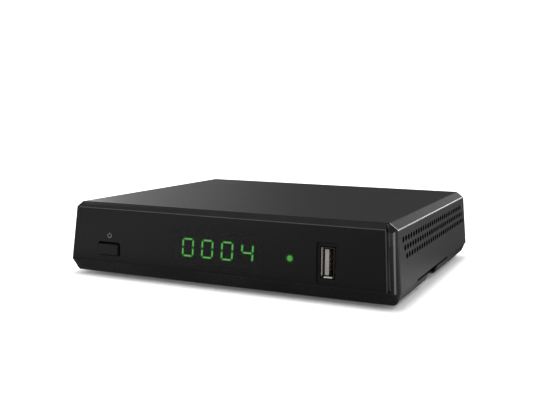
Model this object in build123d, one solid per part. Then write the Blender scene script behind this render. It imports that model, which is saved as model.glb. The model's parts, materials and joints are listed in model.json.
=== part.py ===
from build123d import *
import os

# Satellite television receiver: a folded steel cover on a folded steel tray, a moulded front
# with a dark lens plate, two circuit boards, and the sockets that such a set has at its rear.
#
# Frame: +X to the right seen from the front, +Y to the rear, +Z up. The origin is under the
# middle of the whole set, on the surface that the feet stand on. "Depth" is measured back from
# the front face, and "rise" is measured up from the underside of the bezel. Millimetres.

# ---- Housing ----
BODY_W = 166.4              # across the side folds
BODY_D = 136.5              # front face to the rear edge of the cover
BODY_H = 34.2               # underside of the bezel to the top of the cover
GROUND_GAP = 2.0            # air under the bezel
SHEET = 0.8                 # steel sheet
BEND_R = 0.4                # inside radius of a bend
FIT = 0.15                  # clearance between sheets that slide past each other
SEAM = 0.15                 # open line between two outer parts
WALL_LEAN = 2.36            # a side wall leans in by this from fold to shoulder
SHOULDER_W = 3.78           # shoulder chamfer, across
SHOULDER_H = 2.8            # shoulder chamfer, down
FOLD_RISE = 5.72            # rise of the side folds
TRAY_RISE = 1.1             # rise of the tray's underside
TRAY_IN = 1.88              # the tray's lower corner stands in by this from the fold
REAR_RECESS = 2.5           # the cover reaches past the rear wall by this
TAB_END = 27.5              # depth at which the cover's lower front tabs end
TAB_GAP = 0.35              # from a tab's end to the tray's flange
UPSTAND = 6.0               # tray flange inside the cover, above the fold

# ---- Side vents ----
VENT_R = 1.2
VENT_PITCH = 4.28           # along a row
VENT_ROW_PITCH = 3.75       # from row to row, down the wall
VENT_ROWS = 3
VENT_START = 10.3           # depth of the first hole
VENT_END = 6.0              # the holes stop this far before the cover's rear edge
VENT_DROP = 4.7             # first row below the shoulder, along the wall

# ---- Slots in the tray's floor ----
FLOOR_SLOT_L = 30.0
FLOOR_SLOT_W = 2.2
FLOOR_SLOT_PITCH = 6.0
FLOOR_SLOT_COUNT = 9
FLOOR_SLOT_X = 42.0         # the second field lies this far left of the middle one

# ---- Bezel and facia ----
BEVEL_D = 3.38              # depth of the sloping borders of the face
TOP_BEVEL_H = 2.29
LOW_BEVEL_H = 5.56
BEZEL_IN = 1.75             # the bezel's lower corner stands in by this from the fold
LOW_CORNER_R = 3.2          # rounding of its lower corners
FACE_IN_TOP = 6.92          # the lens plate's end stands in by this from the fold, at its top
FACE_IN_LOW = 6.22          # and at its bottom
CORNER_R = 3.0              # rounding of the corner strips
FACIA_T = 1.2
FACIA_RIM = 0.5             # bezel rim above and below the plate
BEZEL_WALL = 1.8            # bezel wall behind the plate
LIP_T = 1.2                 # bezel lip inside the cover
LIP_D = 9.0                 # depth at which the lip ends
LIP_GAP = 0.25              # from the lip to the cover and the tray
GROOVE_W = 1.1
GROOVE_D = 1.3
GROOVE_OUT_TOP = 1.17       # from the plate's end to the groove's middle, at the top
GROOVE_OUT_LOW = 1.87       # and at the bottom
GROOVE_BACK = 1.15          # the groove runs in by this as it climbs the top bevel
CLIP_W = 8.0
CLIP_D = 3.0
CLIP_X = 50.0
CLIP_DEPTH = 7.0

# ---- Power button ----
BUTTON_IN = 23.6            # from the left fold to the button's middle
BUTTON_RISE = 12.4
BUTTON_W = 11.8
BUTTON_H = 5.9
BUTTON_R = 0.8
BUTTON_EDGE = 0.3
BUTTON_PROUD = 0.9
BUTTON_GAP = 0.35
BUTTON_TRAVEL = 0.3
FLANGE_RIM = 1.2
FLANGE_T = 0.9
SWITCH_W = 6.0
PLUNGER_R = 1.75
PLUNGER_OUT = 0.8
PLUNGER_IN = 0.9
PLUNGER_FIT = 0.1

# ---- Display, lamp and remote-control eye ----
DISPLAY_OUT = 36.1          # the display's middle is this far left of the lamp
DISPLAY_RISE = 16.55
DISPLAY_W = 40.6
DISPLAY_H = 12.8
DISPLAY_GAP = 0.35          # from the module to its window
DIGITS = 4
DIGIT_PITCH = 10.1
DIGIT_W = 5.25              # between the middles of the upright segments
DIGIT_H = 7.8               # between the middles of the top and bottom segments
DIGIT_LEAN = 0.48           # a digit's top stands this far right of its bottom
SEGMENT_W = 1.1
SEGMENT_T = 0.2
SEGMENT_GAP = 0.4           # from a segment's tip to the middle of its neighbour
SEGMENT_TIP = 0.25          # length of the tapered tip
LENS_GAP = 0.1              # behind the lens plate
LED_OUT = 17.0              # the lamp is this far left of the upright socket
LED_RISE = 16.3
LED_R = 1.5
LED_CROWN = 0.3             # depth of its crown
LED_COLLAR = 0.35
LED_COLLAR_T = 1.0
EYE_OUT = 7.6               # the eye is this far left of the lamp
EYE_W = 5.3
EYE_H = 6.3
EYE_GAP = 0.35

# ---- Boards ----
BOARD_T = 1.6
FRONT_BOARD_GAP = 6.8       # from the display's front to the front board
FRONT_BOARD_LOW = 6.0
FRONT_BOARD_DROP = 5.2      # the front board's top edge is this far below the cover's top
FRONT_BOARD_USB = 4.65      # it ends this far from the upright socket
FRONT_SCREW_IN = 6.0        # its right-hand screws stand in by this
FRONT_SCREW_EDGE = 3.75     # from its upper and lower edges to the screws
BOSS_R = 2.5
BOSS_BORE = 1.0
BOARD_SIDE = 9.2            # from the side fold to the main board's edge
BOARD_STEP = 2.6            # from the front board to the main board
BOARD_WALL_GAP = 1.0        # from the main board to the rear wall
STANDOFF_R = 3.0
STANDOFF_IN = 3.6           # from the board's side edges
STANDOFF_FRONT = 8.5        # from the board's front edge
STANDOFF_REAR = 6.0         # from the board's rear edge
SCREW_R = 1.25
SCREW_FIT = 0.1
SCREW_GRIP = 3.0            # length of a screw in its stand-off
HEAD_R = 2.7
HEAD_H = 1.8
CROSS_W = 0.7               # cross recess of a cover screw
CROSS_L = 3.2
LINK_X = -10.0              # header between the two boards, under the display
LINK_W = 20.0
LINK_T = 2.5

# ---- Upright type A socket ----
USB_IN = 31.6               # from the right fold
USB_RISE = 15.75
USB_W = 5.9                 # across the shell
USB_H = 13.1
USB_L = 14.0
USB_SHEET = 0.35
USB_GAP = 0.45              # from the shell to the hole in the bezel
USB_TONGUE_W = 1.9
USB_TONGUE_H = 11.1
USB_TONGUE_L = 8.6
USB_TONGUE_BACK = 1.0       # the tongue starts this far inside the shell
USB_TONGUE_SHIFT = 0.7      # and stands off the middle by this
USB_CONTACT_W = 1.1
USB_CONTACT_T = 0.25
USB_CONTACT_BACK = 1.0      # the contacts start this far behind the tongue's tip
USB_CONTACT_INNER = 1.0     # rise of the inner two contacts from the middle
USB_CONTACT_OUTER = 3.5     # and of the outer two
USB_RECESS_W = 9.6
USB_RECESS_H = 17.7
USB_RECESS_R = 1.2

# ---- Card slot in the right side ----
SLIT_START = 29.3           # depth
SLIT_RISE = 0.6             # the cover's edge is raised by this
SLIT_DROP = 0.6             # and the tray's edge lowered
NOTCH_L = 18.5              # finger notch, along the side
NOTCH_IN = 2.4              # and into the tray's floor
NOTCH_R = 2.0
CARD_W = 54.6
CARD_H = 1.2
SLIT_MARGIN = 2.7           # the slit is longer than the card by this at each end
READER_L = 50.0
READER_MARGIN = 2.5
READER_FLOOR = 0.8
CARD_CONTACT_W = 1.7
CARD_CONTACT_L = 4.0
CARD_CONTACT_T = 0.2
CARD_CONTACT_PITCH = 2.54
CARD_CONTACTS = 4           # in each of two rows
CARD_CONTACT_IN = 32.0      # from the slot to the farther row
CARD_CONTACT_STEP = 8.0     # from row to row

# ---- Parts on the main board ----
CHIP_X = -2.0
CHIP_DEPTH = 62.0
CHIP_W = 23.0
CHIP_T = 1.8
SINK_W = 30.0
SINK_BASE = 2.0
SINK_H = 9.0
FIN_T = 1.2
FIN_COUNT = 8
MEMORY_W = 9.0
MEMORY_L = 13.5
MEMORY_T = 1.1
MEMORY_PLACES = ((-28.0, -12.0), (-28.0, 6.0), (28.0, 0.0))  # from the processor
CAN_R = 4.0
CAN_H = 11.5
CAN_PLACES = ((19.0, 79.0), (26.0, 40.0))                    # from the board's left edge
REAR_CANS_IN = (17.0, 28.0)                                  # from the board's left edge
REAR_CAN_IN = 28.0          # the rear cans stand this far in front of the rear wall
COIL_W = 10.0
COIL_H = 5.0
COIL_IN = 12.0              # from the board's left edge
COIL_DEPTHS = (46.0, 62.0)
CRYSTAL_RIGHT = 24.0        # from the processor, to the right
CRYSTAL_AHEAD = 18.0        # and to the front
CRYSTAL_L = 11.0
CRYSTAL_W = 4.6
CRYSTAL_H = 3.5

# ---- Rear sockets ----
SOCKET_GAP = 0.4            # from a socket to its hole in the rear wall
TUNER_W = 26.0
TUNER_D = 34.0
TUNER_H = 14.0
COAX_R = 4.75
COAX_RELIEF = 0.4           # the barrel is this much slimmer under its nut
NUT_FIT = 0.05
COAX_SPIGOT_R = 3.0
COAX_BORE = 1.6
COAX_L = 11.0               # beyond the rear wall
COAX_CHAMFER = 0.4
NUT_AF = 11.0
NUT_T = 2.2
SCART_W = 47.0
SCART_H = 14.6
SCART_CUT = 7.0             # the slanted corner
SCART_BODY_W = 50.4
SCART_BODY_H = 19.0
SCART_BODY_D = 16.0
SCART_WALL = 1.0
SCART_ISLAND = 2.0          # gap round the contact block
SCART_PROUD = 1.2
SCART_CAVITY = 8.0
SCART_SLOTS = 10            # in each of two rows
SCART_SLOT_W = 1.4
SCART_SLOT_H = 3.0
SCART_SLOT_PITCH = 3.8
SCART_SLOT_RISE = 2.9       # of a row from the socket's middle
HDMI_W = 15.0
HDMI_H = 6.0
HDMI_CUT = 1.6              # the slanted corners
HDMI_L = 11.5
HDMI_SHEET = 0.45
HDMI_PROUD = 0.5
HDMI_BLOCK = 3.5
HDMI_TONGUE_W = 11.0
HDMI_TONGUE_H = 1.1
HDMI_TONGUE_BACK = 1.0
AUDIO_W = 10.0
AUDIO_D = 10.0
AUDIO_H = 13.0
AUDIO_AXIS = 7.5            # above the board
AUDIO_BOSS_R = 4.9
AUDIO_PROUD = 1.0
AUDIO_BORE = 1.6
AUDIO_CORE_R = 3.0
AUDIO_CORE_BACK = 1.0       # the core ends this far inside the sleeve
SLEEVE_R = 4.15
SLEEVE_T = 0.5
SLEEVE_L = 7.5
INLET_W = 9.0
INLET_D = 14.0
INLET_H = 11.0
INLET_AXIS = 6.5            # above the board
INLET_BOSS_R = 4.2
INLET_BORE = 3.2
INLET_PROUD = 0.6
INLET_PIN_R = 1.0
INLET_PIN_BACK = 0.6        # the pin ends this far inside the rear wall
INLET_REACH = 9.5

# ---- Feet and cover screws ----
FOOT_R = 6.0
FOOT_TAPER = 0.7
FOOT_IN = 19.2              # from the side fold
FOOT_FRONT = 17.0           # depth of the front feet
FOOT_REAR = 17.0            # the rear feet stand this far in front of the rear wall
COVER_SCREW_IN = 7.0        # from the edge of the cover's flat top
COVER_SCREW_DROP = 7.0
SCREW_TAB_W = 12.0
SCREW_TAB_H = 11.0

# ---- Places that follow from the sizes above ----
CUT = 1.0                                           # a cutter reaches past its face by this
SIDES = 8                                           # of small holes and hidden round parts
MORE_SIDES = 16                                     # of larger round parts that bear nothing
LARGE = 2 * BODY_W                                  # reaches past everything in a cut
REAR_WALL = BODY_D - REAR_RECESS                    # depth of the rear wall's outer face
SOCKET_BACK = REAR_WALL - SHEET - FIT               # depth at which the rear sockets' bodies end
LENGTH = BUTTON_PROUD + REAR_WALL + COAX_L          # button face to the end of the coax thread
FACE_Y = BUTTON_PROUD - LENGTH / 2
FOLD_HALF = BODY_W / 2
SHOULDER_HALF = FOLD_HALF - WALL_LEAN
TOP_HALF = SHOULDER_HALF - SHOULDER_W
SHOULDER_RISE = BODY_H - SHOULDER_H
FLOOR_TOP = TRAY_RISE + SHEET
COVER_FRONT = BEVEL_D + SEAM
FACE_TOP = BODY_H - TOP_BEVEL_H
FACE_HALF_TOP = FOLD_HALF - FACE_IN_TOP
FACE_HALF_LOW = FOLD_HALF - FACE_IN_LOW
GROOVE_TOP = FACE_HALF_TOP + GROOVE_OUT_TOP
GROOVE_LOW = FACE_HALF_LOW + GROOVE_OUT_LOW
WALL_BACK = FACIA_T + BEZEL_WALL                    # depth behind the bezel's front wall
BUTTON_X = BUTTON_IN - FOLD_HALF
USB_X = FOLD_HALF - USB_IN
LED_X = USB_X - LED_OUT
EYE_X = LED_X - EYE_OUT
DISPLAY_X = LED_X - DISPLAY_OUT
DISPLAY_FRONT = FACIA_T + LENS_GAP + SEGMENT_T
BOARD_HALF = FOLD_HALF - BOARD_SIDE
BOARD_TOP = USB_RISE - USB_H / 2                    # the upright socket stands on the main board
BOARD_LOW = BOARD_TOP - BOARD_T
FRONT_BOARD = DISPLAY_FRONT + FRONT_BOARD_GAP       # depth of the front board's front face
FRONT_BOARD_BACK = FRONT_BOARD + BOARD_T
FRONT_BOARD_HIGH = BODY_H - FRONT_BOARD_DROP
FRONT_BOARD_RIGHT = USB_X - FRONT_BOARD_USB - USB_W / 2
BOARD_FRONT = FRONT_BOARD_BACK + BOARD_STEP
BOARD_REAR = REAR_WALL - SHEET - BOARD_WALL_GAP
STANDOFF_X = BOARD_HALF - STANDOFF_IN
PLUNGER_FRONT = WALL_BACK + FLANGE_T
SWITCH_FRONT = PLUNGER_FRONT + PLUNGER_OUT
USB_FRONT = FACIA_T
USB_BLOCK_FRONT = USB_FRONT + USB_TONGUE_BACK + USB_TONGUE_L
USB_TONGUE_X = USB_X - USB_TONGUE_SHIFT
SLIT_L = CARD_W + 2 * SLIT_MARGIN
SLIT_END = SLIT_START + SLIT_L
SLIT_MIDDLE = SLIT_START + SLIT_L / 2
CARD_RISE = FOLD_RISE - SLIT_DROP
READER_LOW = CARD_RISE - READER_FLOOR
READER_RIGHT = FOLD_HALF - 2 * SHEET - FIT - TRAY_IN
COAX_RISE = BOARD_TOP + TUNER_H / 2
COAX_END = REAR_WALL + COAX_L
SCART_RISE = BOARD_TOP + SCART_BODY_H / 2
HDMI_RISE = BOARD_TOP + HDMI_H / 2
HDMI_BACK = REAR_WALL + HDMI_PROUD
AUDIO_RISE = BOARD_TOP + AUDIO_AXIS
SLEEVE_FRONT = REAR_WALL + AUDIO_PROUD
SLEEVE_END = SLEEVE_FRONT + SLEEVE_L
INLET_RISE = BOARD_TOP + INLET_AXIS
COVER_SCREW_X = TOP_HALF - COVER_SCREW_IN
COVER_SCREW_RISE = BODY_H - COVER_SCREW_DROP
FOOT_X = FOLD_HALF - FOOT_IN
FOOT_H = GROUND_GAP + TRAY_RISE


def side_by_side(widths, left, right):
    """Middles of things that stand in a row between two X values, evenly spaced."""
    gap = (right - left - sum(widths)) / (len(widths) + 1)
    middles = []
    start = left
    for width in widths:
        middles.append(start + gap + width / 2)
        start += gap + width
    return middles


ROW_END = STANDOFF_X - STANDOFF_R                   # the row of sockets lies between the screws
INLET_X, AUDIO_X, SCART_X, HDMI_X, TUNER_X = side_by_side(
    (INLET_W, AUDIO_W, SCART_BODY_W, HDMI_W, TUNER_W), -ROW_END, ROW_END)


# ---- Helpers ----
def depth(d):
    return FACE_Y + d


def rise(h):
    return GROUND_GAP + h


def block(x0, x1, d0, d1, h0, h1):
    """A box between two X values, two depths and two rises."""
    middle = Pos((x0 + x1) / 2, depth((d0 + d1) / 2), rise((h0 + h1) / 2))
    return middle * Box(x1 - x0, d1 - d0, h1 - h0)


def slab(sketch, d0, d1):
    """A flat outline, drawn as X against rise, pushed from one depth to another."""
    face = Pos(0, depth(d0), rise(0)) * (Plane.XZ * sketch)
    return extrude(face, amount=d1 - d0, dir=(0, 1, 0))


def plate(sketch, h0, h1):
    """A flat outline, drawn as X against Y, pushed from one rise to another."""
    return extrude(Pos(0, 0, rise(h0)) * sketch, amount=h1 - h0, dir=(0, 0, 1))


def few_sided(radius):
    """The outline of a small hole or a hidden round part."""
    return RegularPolygon(radius, SIDES)


def more_sided(radius):
    """The outline of a larger round part that nothing mates with."""
    return RegularPolygon(radius, MORE_SIDES)


def rod(x, h, radius, d0, d1, section=Circle):
    """A round rod along Y."""
    return slab(Pos(x, h) * section(radius), d0, d1)


def post(x, d, radius, h0, h1):
    """A hidden round rod along Z."""
    return plate(Pos(x, depth(d)) * few_sided(radius), h0, h1)


def on_board(x, d, width, length, height):
    """A box that stands on the main board, about a place given as X and depth."""
    return block(x - width / 2, x + width / 2, d - length / 2, d + length / 2,
                 BOARD_TOP, BOARD_TOP + height)


def rounded(x, h, width, height, radius):
    return Pos(x, h) * RectangleRounded(width, height, radius)


def front_edges(solid, d):
    """The edges of a solid that lie at one depth."""
    return solid.edges().filter_by_position(Axis.Y, depth(d) - FIT, depth(d) + FIT)


def cluster(solids):
    """Separate solids kept side by side in one node."""
    return Compound(children=[s for solid in solids for s in solid.solids()])


def both_sides(make):
    return make(-1) + make(1)


# ---- Sections of the housing ----
def outline(low_half, low_rise, inset=0.0, bend=0.0):
    """Cross-section of the set, seen from the front: chamfered shoulders, leaning walls, folds."""
    right = [
        (TOP_HALF, BODY_H),
        (SHOULDER_HALF, SHOULDER_RISE),
        (FOLD_HALF, FOLD_RISE),
        (low_half, low_rise),
    ]
    left = [(-x, h) for x, h in reversed(right)]
    shape = Polygon(*(right + left), align=None)
    if inset:
        shape = offset(shape, -inset, kind=Kind.INTERSECTION)
    if bend:
        shape = fillet(shape.vertices(), bend)
    return shape


def housing(inset=0.0, bend=0.0):
    return outline(FOLD_HALF - TRAY_IN, TRAY_RISE, inset, bend)


def sheet_ring(inset=0.0):
    """The section of one thickness of bent sheet."""
    return housing(inset, BEND_R + SHEET) - housing(inset + SHEET, BEND_R)


def above(h, d0=-LARGE, d1=LARGE):
    return block(-LARGE, LARGE, d0, d1, h, LARGE)


def below(h, d0=-LARGE, d1=LARGE):
    return block(-LARGE, LARGE, d0, d1, -LARGE, h)


# ---- Top cover ----
def side_wall_plane(side):
    """A plane on the outside of a side wall: its X runs to the rear and its Y up the wall."""
    lean = Vector(-side * WALL_LEAN, 0, SHOULDER_RISE - FOLD_RISE).normalized()
    shoulder = Vector(side * SHOULDER_HALF, depth(0), rise(SHOULDER_RISE))
    along = Vector(0, 1, 0)
    return Plane(origin=shoulder, x_dir=along, z_dir=along.cross(lean))


def vents(side):
    """Staggered rows of round holes, as one cutter."""
    stagger = VENT_PITCH / 2
    room = BODY_D - VENT_END - VENT_START - (VENT_ROWS - 1) * stagger
    columns = 1 + int(room / VENT_PITCH)
    centres = []
    for row in range(VENT_ROWS):
        first = VENT_START + row * stagger
        down = VENT_DROP + row * VENT_ROW_PITCH
        centres += [(first + column * VENT_PITCH, -down) for column in range(columns)]
    holes = Locations(*centres).local_locations
    punch = Sketch() + [place * few_sided(VENT_R) for place in holes]
    return extrude(side_wall_plane(side) * punch, amount=2 * SHEET, both=True)


def screw_tab(side):
    """A tab folded down behind the rear wall, tapped for a cover screw."""
    x = side * COVER_SCREW_X
    tab = block(x - SCREW_TAB_W / 2, x + SCREW_TAB_W / 2, SOCKET_BACK - SHEET, SOCKET_BACK,
                BODY_H - SCREW_TAB_H, BODY_H - SHEET)
    return tab - rod(x, COVER_SCREW_RISE, SCREW_R + SCREW_FIT, SOCKET_BACK - 2 * SHEET,
                     REAR_WALL, few_sided)


def make_top_cover():
    cover = slab(sheet_ring(), COVER_FRONT, BODY_D)
    cover -= below(FOLD_RISE, TAB_END, LARGE)
    cover -= below(FLOOR_TOP + SEAM)
    # the edge over the card slot is raised
    cover -= block(0, LARGE, SLIT_START, SLIT_END, 0, FOLD_RISE + SLIT_RISE)
    cover -= vents(1)
    cover -= vents(-1)
    return cover + both_sides(screw_tab)


# ---- Bottom chassis ----
def card_notch():
    """The finger notch: through the flange beside the card slot and into the floor."""
    reach = TRAY_IN + NOTCH_IN
    shape = Pos(FOLD_HALF, depth(SLIT_MIDDLE)) * RectangleRounded(2 * reach, NOTCH_L, NOTCH_R)
    return plate(shape, -GROUND_GAP, FOLD_RISE)


def floor_vents():
    """Two fields of slots under the boards."""
    slots = GridLocations(0, FLOOR_SLOT_PITCH, 1, FLOOR_SLOT_COUNT).local_locations
    field = Sketch() + [place * Rectangle(FLOOR_SLOT_L, FLOOR_SLOT_W) for place in slots]
    fields = [Pos(x, depth(BODY_D / 2)) * field for x in (-FLOOR_SLOT_X, 0)]
    return plate(Sketch() + fields, 0, FLOOR_TOP + SHEET)


def standoff_places():
    depths = (BOARD_FRONT + STANDOFF_FRONT, BOARD_REAR - STANDOFF_REAR)
    return [(side * STANDOFF_X, d) for side in (-1, 1) for d in depths]


def standoffs():
    pillars = [post(x, d, STANDOFF_R, FLOOR_TOP, BOARD_LOW)
               - post(x, d, SCREW_R + SCREW_FIT, FLOOR_TOP + SHEET, BOARD_LOW)
               for x, d in standoff_places()]
    return Part() + pillars


def rear_wall_holes():
    """One hole for each socket, a little larger than the socket."""
    start = REAR_WALL - 2 * SHEET
    end = REAR_WALL + SHEET
    holes = slab(scart_front(SOCKET_GAP), start, end) + slab(hdmi_front(SOCKET_GAP), start, end)
    rounds = [(TUNER_X, COAX_RISE, COAX_R), (AUDIO_X, AUDIO_RISE, AUDIO_BOSS_R),
              (INLET_X, INLET_RISE, INLET_BOSS_R)]
    for x, h, radius in rounds:
        holes += rod(x, h, radius + SOCKET_GAP, start, end, more_sided)
    for side in (-1, 1):
        holes += rod(side * COVER_SCREW_X, COVER_SCREW_RISE, SCREW_R + 2 * SCREW_FIT, start, end,
                     few_sided)
    return holes


def clip_slot(x):
    half = CLIP_W / 2 + LIP_GAP
    return block(x - half, x + half, CLIP_DEPTH - CLIP_D / 2 - LIP_GAP,
                 CLIP_DEPTH + CLIP_D / 2 + LIP_GAP, 0, FLOOR_TOP + FIT)


def make_bottom_chassis():
    seam = FOLD_RISE - SEAM
    # floor and outer flanges
    tray = slab(sheet_ring(), COVER_FRONT, REAR_WALL) - above(seam)
    tray -= above(FLOOR_TOP, -LARGE, TAB_END + TAB_GAP)
    # joggle and upstand: the flange steps in by one sheet and runs up inside the cover
    step = slab(housing(0, BEND_R + SHEET) - housing(2 * SHEET + FIT, BEND_R),
                TAB_END + TAB_GAP, REAR_WALL)
    step -= above(seam)
    step -= below(seam - SHEET)
    inner = slab(sheet_ring(SHEET + FIT), TAB_END + TAB_GAP, REAR_WALL)
    inner -= above(seam + UPSTAND)
    inner -= below(seam - SHEET)
    flanges = step + inner
    # the card slot has neither step nor upstand
    flanges -= block(0, LARGE, SLIT_START, SLIT_END, 0, LARGE)
    tray -= block(0, LARGE, SLIT_START, SLIT_END, FOLD_RISE - SLIT_DROP, LARGE)
    tray += flanges
    tray -= card_notch()
    wall = slab(housing(SHEET + FIT), REAR_WALL - SHEET, REAR_WALL) - below(FLOOR_TOP)
    tray += wall - rear_wall_holes()
    tray += standoffs()
    tray -= floor_vents()
    for side in (-1, 0, 1):
        tray -= clip_slot(side * CLIP_X)
    return tray


# ---- Front bezel and facia ----
def face_half(h):
    """Half width of the lens plate at a rise."""
    share = (h - LOW_BEVEL_H) / (FACE_TOP - LOW_BEVEL_H)
    return FACE_HALF_LOW + (FACE_HALF_TOP - FACE_HALF_LOW) * share


def facia_outline(margin=0.0):
    low = LOW_BEVEL_H + FACIA_RIM - margin
    high = FACE_TOP - FACIA_RIM + margin
    a = face_half(low) + margin
    b = face_half(high) + margin
    return Polygon((-a, low), (a, low), (b, high), (-b, high), align=None)


def border_cut(h_front, h_back, outward):
    """What the sloping top or bottom border takes off the bezel's block."""
    slope = (h_back - h_front) / BEVEL_D
    reach = 2 * BEVEL_D
    profile = Plane.YZ * Polygon(
        (depth(-reach), rise(h_front - slope * reach)),
        (depth(reach), rise(h_front + slope * reach)),
        (depth(reach), rise(h_front + slope * reach + outward)),
        (depth(-reach), rise(h_front - slope * reach + outward)), align=None)
    return extrude(profile, amount=LARGE, both=True)


def groove(side):
    """The line between the middle of the bezel and a corner strip."""
    half = GROOVE_W / 2
    low = LOW_BEVEL_H + FACIA_RIM
    back = GROOVE_TOP - GROOVE_BACK
    on_face = Polygon((side * (GROOVE_LOW - half), low), (side * (GROOVE_LOW + half), low),
                      (side * (GROOVE_TOP + half), FACE_TOP),
                      (side * (GROOVE_TOP - half), FACE_TOP), align=None)
    on_bevel = Polygon((side * (GROOVE_TOP - half), FACE_TOP - GROOVE_W),
                       (side * (GROOVE_TOP + half), FACE_TOP - GROOVE_W),
                       (side * (back + half), BODY_H + SHEET),
                       (side * (back - half), BODY_H + SHEET), align=None)
    return slab(on_face, -CUT, GROOVE_D) + slab(on_bevel, -CUT, BEVEL_D - SHEET)


def bezel_windows():
    """Openings in the bezel's front wall, behind the lens plate."""
    outlines = [
        Pos(DISPLAY_X, DISPLAY_RISE) * Rectangle(DISPLAY_W + 2 * DISPLAY_GAP,
                                                 DISPLAY_H + 2 * DISPLAY_GAP),
        Pos(EYE_X, DISPLAY_RISE) * Rectangle(EYE_W + 2 * EYE_GAP, EYE_H + 2 * EYE_GAP),
        Pos(USB_X, USB_RISE) * Rectangle(USB_W + 2 * USB_GAP, USB_H + 2 * USB_GAP),
        Pos(LED_X, LED_RISE) * more_sided(LED_R + LENS_GAP),
        Pos(BUTTON_X, BUTTON_RISE) * Rectangle(BUTTON_W + 2 * BUTTON_GAP,
                                               BUTTON_H + 2 * BUTTON_GAP),
    ]
    return slab(Sketch() + outlines, 0, WALL_BACK + CUT)


def front_screw_places():
    between = (BUTTON_X + BUTTON_W / 2 + DISPLAY_X - DISPLAY_W / 2) / 2
    xs = (between, FRONT_BOARD_RIGHT - FRONT_SCREW_IN)
    rises = (FRONT_BOARD_LOW + FRONT_SCREW_EDGE, FRONT_BOARD_HIGH - FRONT_SCREW_EDGE)
    return [(x, h) for h in rises for x in xs]


def make_front_bezel():
    front = outline(FOLD_HALF - BEZEL_IN, 0)
    front = fillet([v for v in front.vertices() if abs(v.Y) < FIT], LOW_CORNER_R)
    body = slab(front, 0, BEVEL_D)
    ends = [e for e in front_edges(body, 0) if abs(e.center().X) > TOP_HALF + FIT]
    body = fillet(ends, CORNER_R)
    body -= border_cut(FACE_TOP, BODY_H, BODY_H)
    body -= border_cut(LOW_BEVEL_H, 0, -BODY_H)
    # hollow behind the front wall, and a lip that runs back inside the cover
    inside = housing(SHEET + LIP_GAP + LIP_T)
    body -= slab(inside, WALL_BACK, BEVEL_D + CUT)
    body += slab(housing(SHEET + LIP_GAP) - inside, WALL_BACK - FACIA_RIM, LIP_D)
    body -= slab(facia_outline(LENS_GAP), -CUT, FACIA_T)
    body -= bezel_windows()
    body -= both_sides(groove)
    for x, h in front_screw_places():
        body += rod(x, h, BOSS_R, WALL_BACK, FRONT_BOARD, few_sided)
        body -= rod(x, h, BOSS_BORE + SCREW_FIT, WALL_BACK + CUT, FRONT_BOARD, few_sided)
    for side in (-1, 0, 1):
        x = side * CLIP_X
        body += block(x - CLIP_W / 2, x + CLIP_W / 2, CLIP_DEPTH - CLIP_D / 2,
                      CLIP_DEPTH + CLIP_D / 2, FLOOR_TOP - SHEET / 2, FLOOR_TOP + LIP_GAP + SHEET)
    return body


def make_facia_panel():
    holes = [
        rounded(USB_X, USB_RISE, USB_RECESS_W, USB_RECESS_H, USB_RECESS_R),
        Pos(LED_X, LED_RISE) * Circle(LED_R + LENS_GAP),
        rounded(BUTTON_X, BUTTON_RISE, BUTTON_W + 2 * BUTTON_GAP, BUTTON_H + 2 * BUTTON_GAP,
                BUTTON_R + BUTTON_GAP),
    ]
    return slab(facia_outline(), 0, FACIA_T) - slab(Sketch() + holes, -CUT, FACIA_T + CUT)


# ---- Button and its switch ----
def make_power_button():
    cap = slab(rounded(BUTTON_X, BUTTON_RISE, BUTTON_W, BUTTON_H, BUTTON_R),
               -BUTTON_PROUD, WALL_BACK)
    cap = chamfer(front_edges(cap, -BUTTON_PROUD), BUTTON_EDGE)
    flange = rounded(BUTTON_X, BUTTON_RISE, BUTTON_W + 2 * FLANGE_RIM,
                     BUTTON_H + 2 * FLANGE_RIM, BUTTON_R)
    return cap + slab(flange, WALL_BACK, WALL_BACK + FLANGE_T)


def make_tact_switch():
    base = block(BUTTON_X - SWITCH_W / 2, BUTTON_X + SWITCH_W / 2, SWITCH_FRONT,
                 FRONT_BOARD, BUTTON_RISE - SWITCH_W / 2, BUTTON_RISE + SWITCH_W / 2)
    room = PLUNGER_IN + 2 * BUTTON_TRAVEL
    return base - rod(BUTTON_X, BUTTON_RISE, PLUNGER_R + PLUNGER_FIT,
                      SWITCH_FRONT - CUT, SWITCH_FRONT + room, more_sided)


def make_switch_plunger():
    return rod(BUTTON_X, BUTTON_RISE, PLUNGER_R, PLUNGER_FRONT, SWITCH_FRONT + PLUNGER_IN,
               more_sided)


# ---- Front board and what it carries ----
def make_front_board():
    board = block(-BOARD_HALF, FRONT_BOARD_RIGHT, FRONT_BOARD, FRONT_BOARD_BACK,
                  FRONT_BOARD_LOW, FRONT_BOARD_HIGH)
    for x, h in front_screw_places():
        board -= rod(x, h, BOSS_BORE + 2 * SCREW_FIT, FRONT_BOARD - CUT, FRONT_BOARD_BACK + CUT,
                     few_sided)
    return board


def make_front_board_screws():
    screws = []
    for x, h in front_screw_places():
        shank = rod(x, h, BOSS_BORE, FRONT_BOARD - SCREW_GRIP, FRONT_BOARD_BACK, few_sided)
        head = rod(x, h, 2 * BOSS_BORE, FRONT_BOARD_BACK, FRONT_BOARD_BACK + BOSS_BORE, few_sided)
        screws.append(shank + head)
    return cluster(screws)


def make_led_display():
    return block(DISPLAY_X - DISPLAY_W / 2, DISPLAY_X + DISPLAY_W / 2, DISPLAY_FRONT,
                 FRONT_BOARD, DISPLAY_RISE - DISPLAY_H / 2, DISPLAY_RISE + DISPLAY_H / 2)


def segment(length, upright):
    """The corners of one bar of a digit, about its middle."""
    tip = length / 2 - SEGMENT_GAP
    flat = tip - SEGMENT_TIP
    b = SEGMENT_W / 2
    corners = [(-tip, 0), (-flat, b), (flat, b), (tip, 0), (flat, -b), (-flat, -b)]
    return [(-h, x) for x, h in corners] if upright else corners


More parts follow.
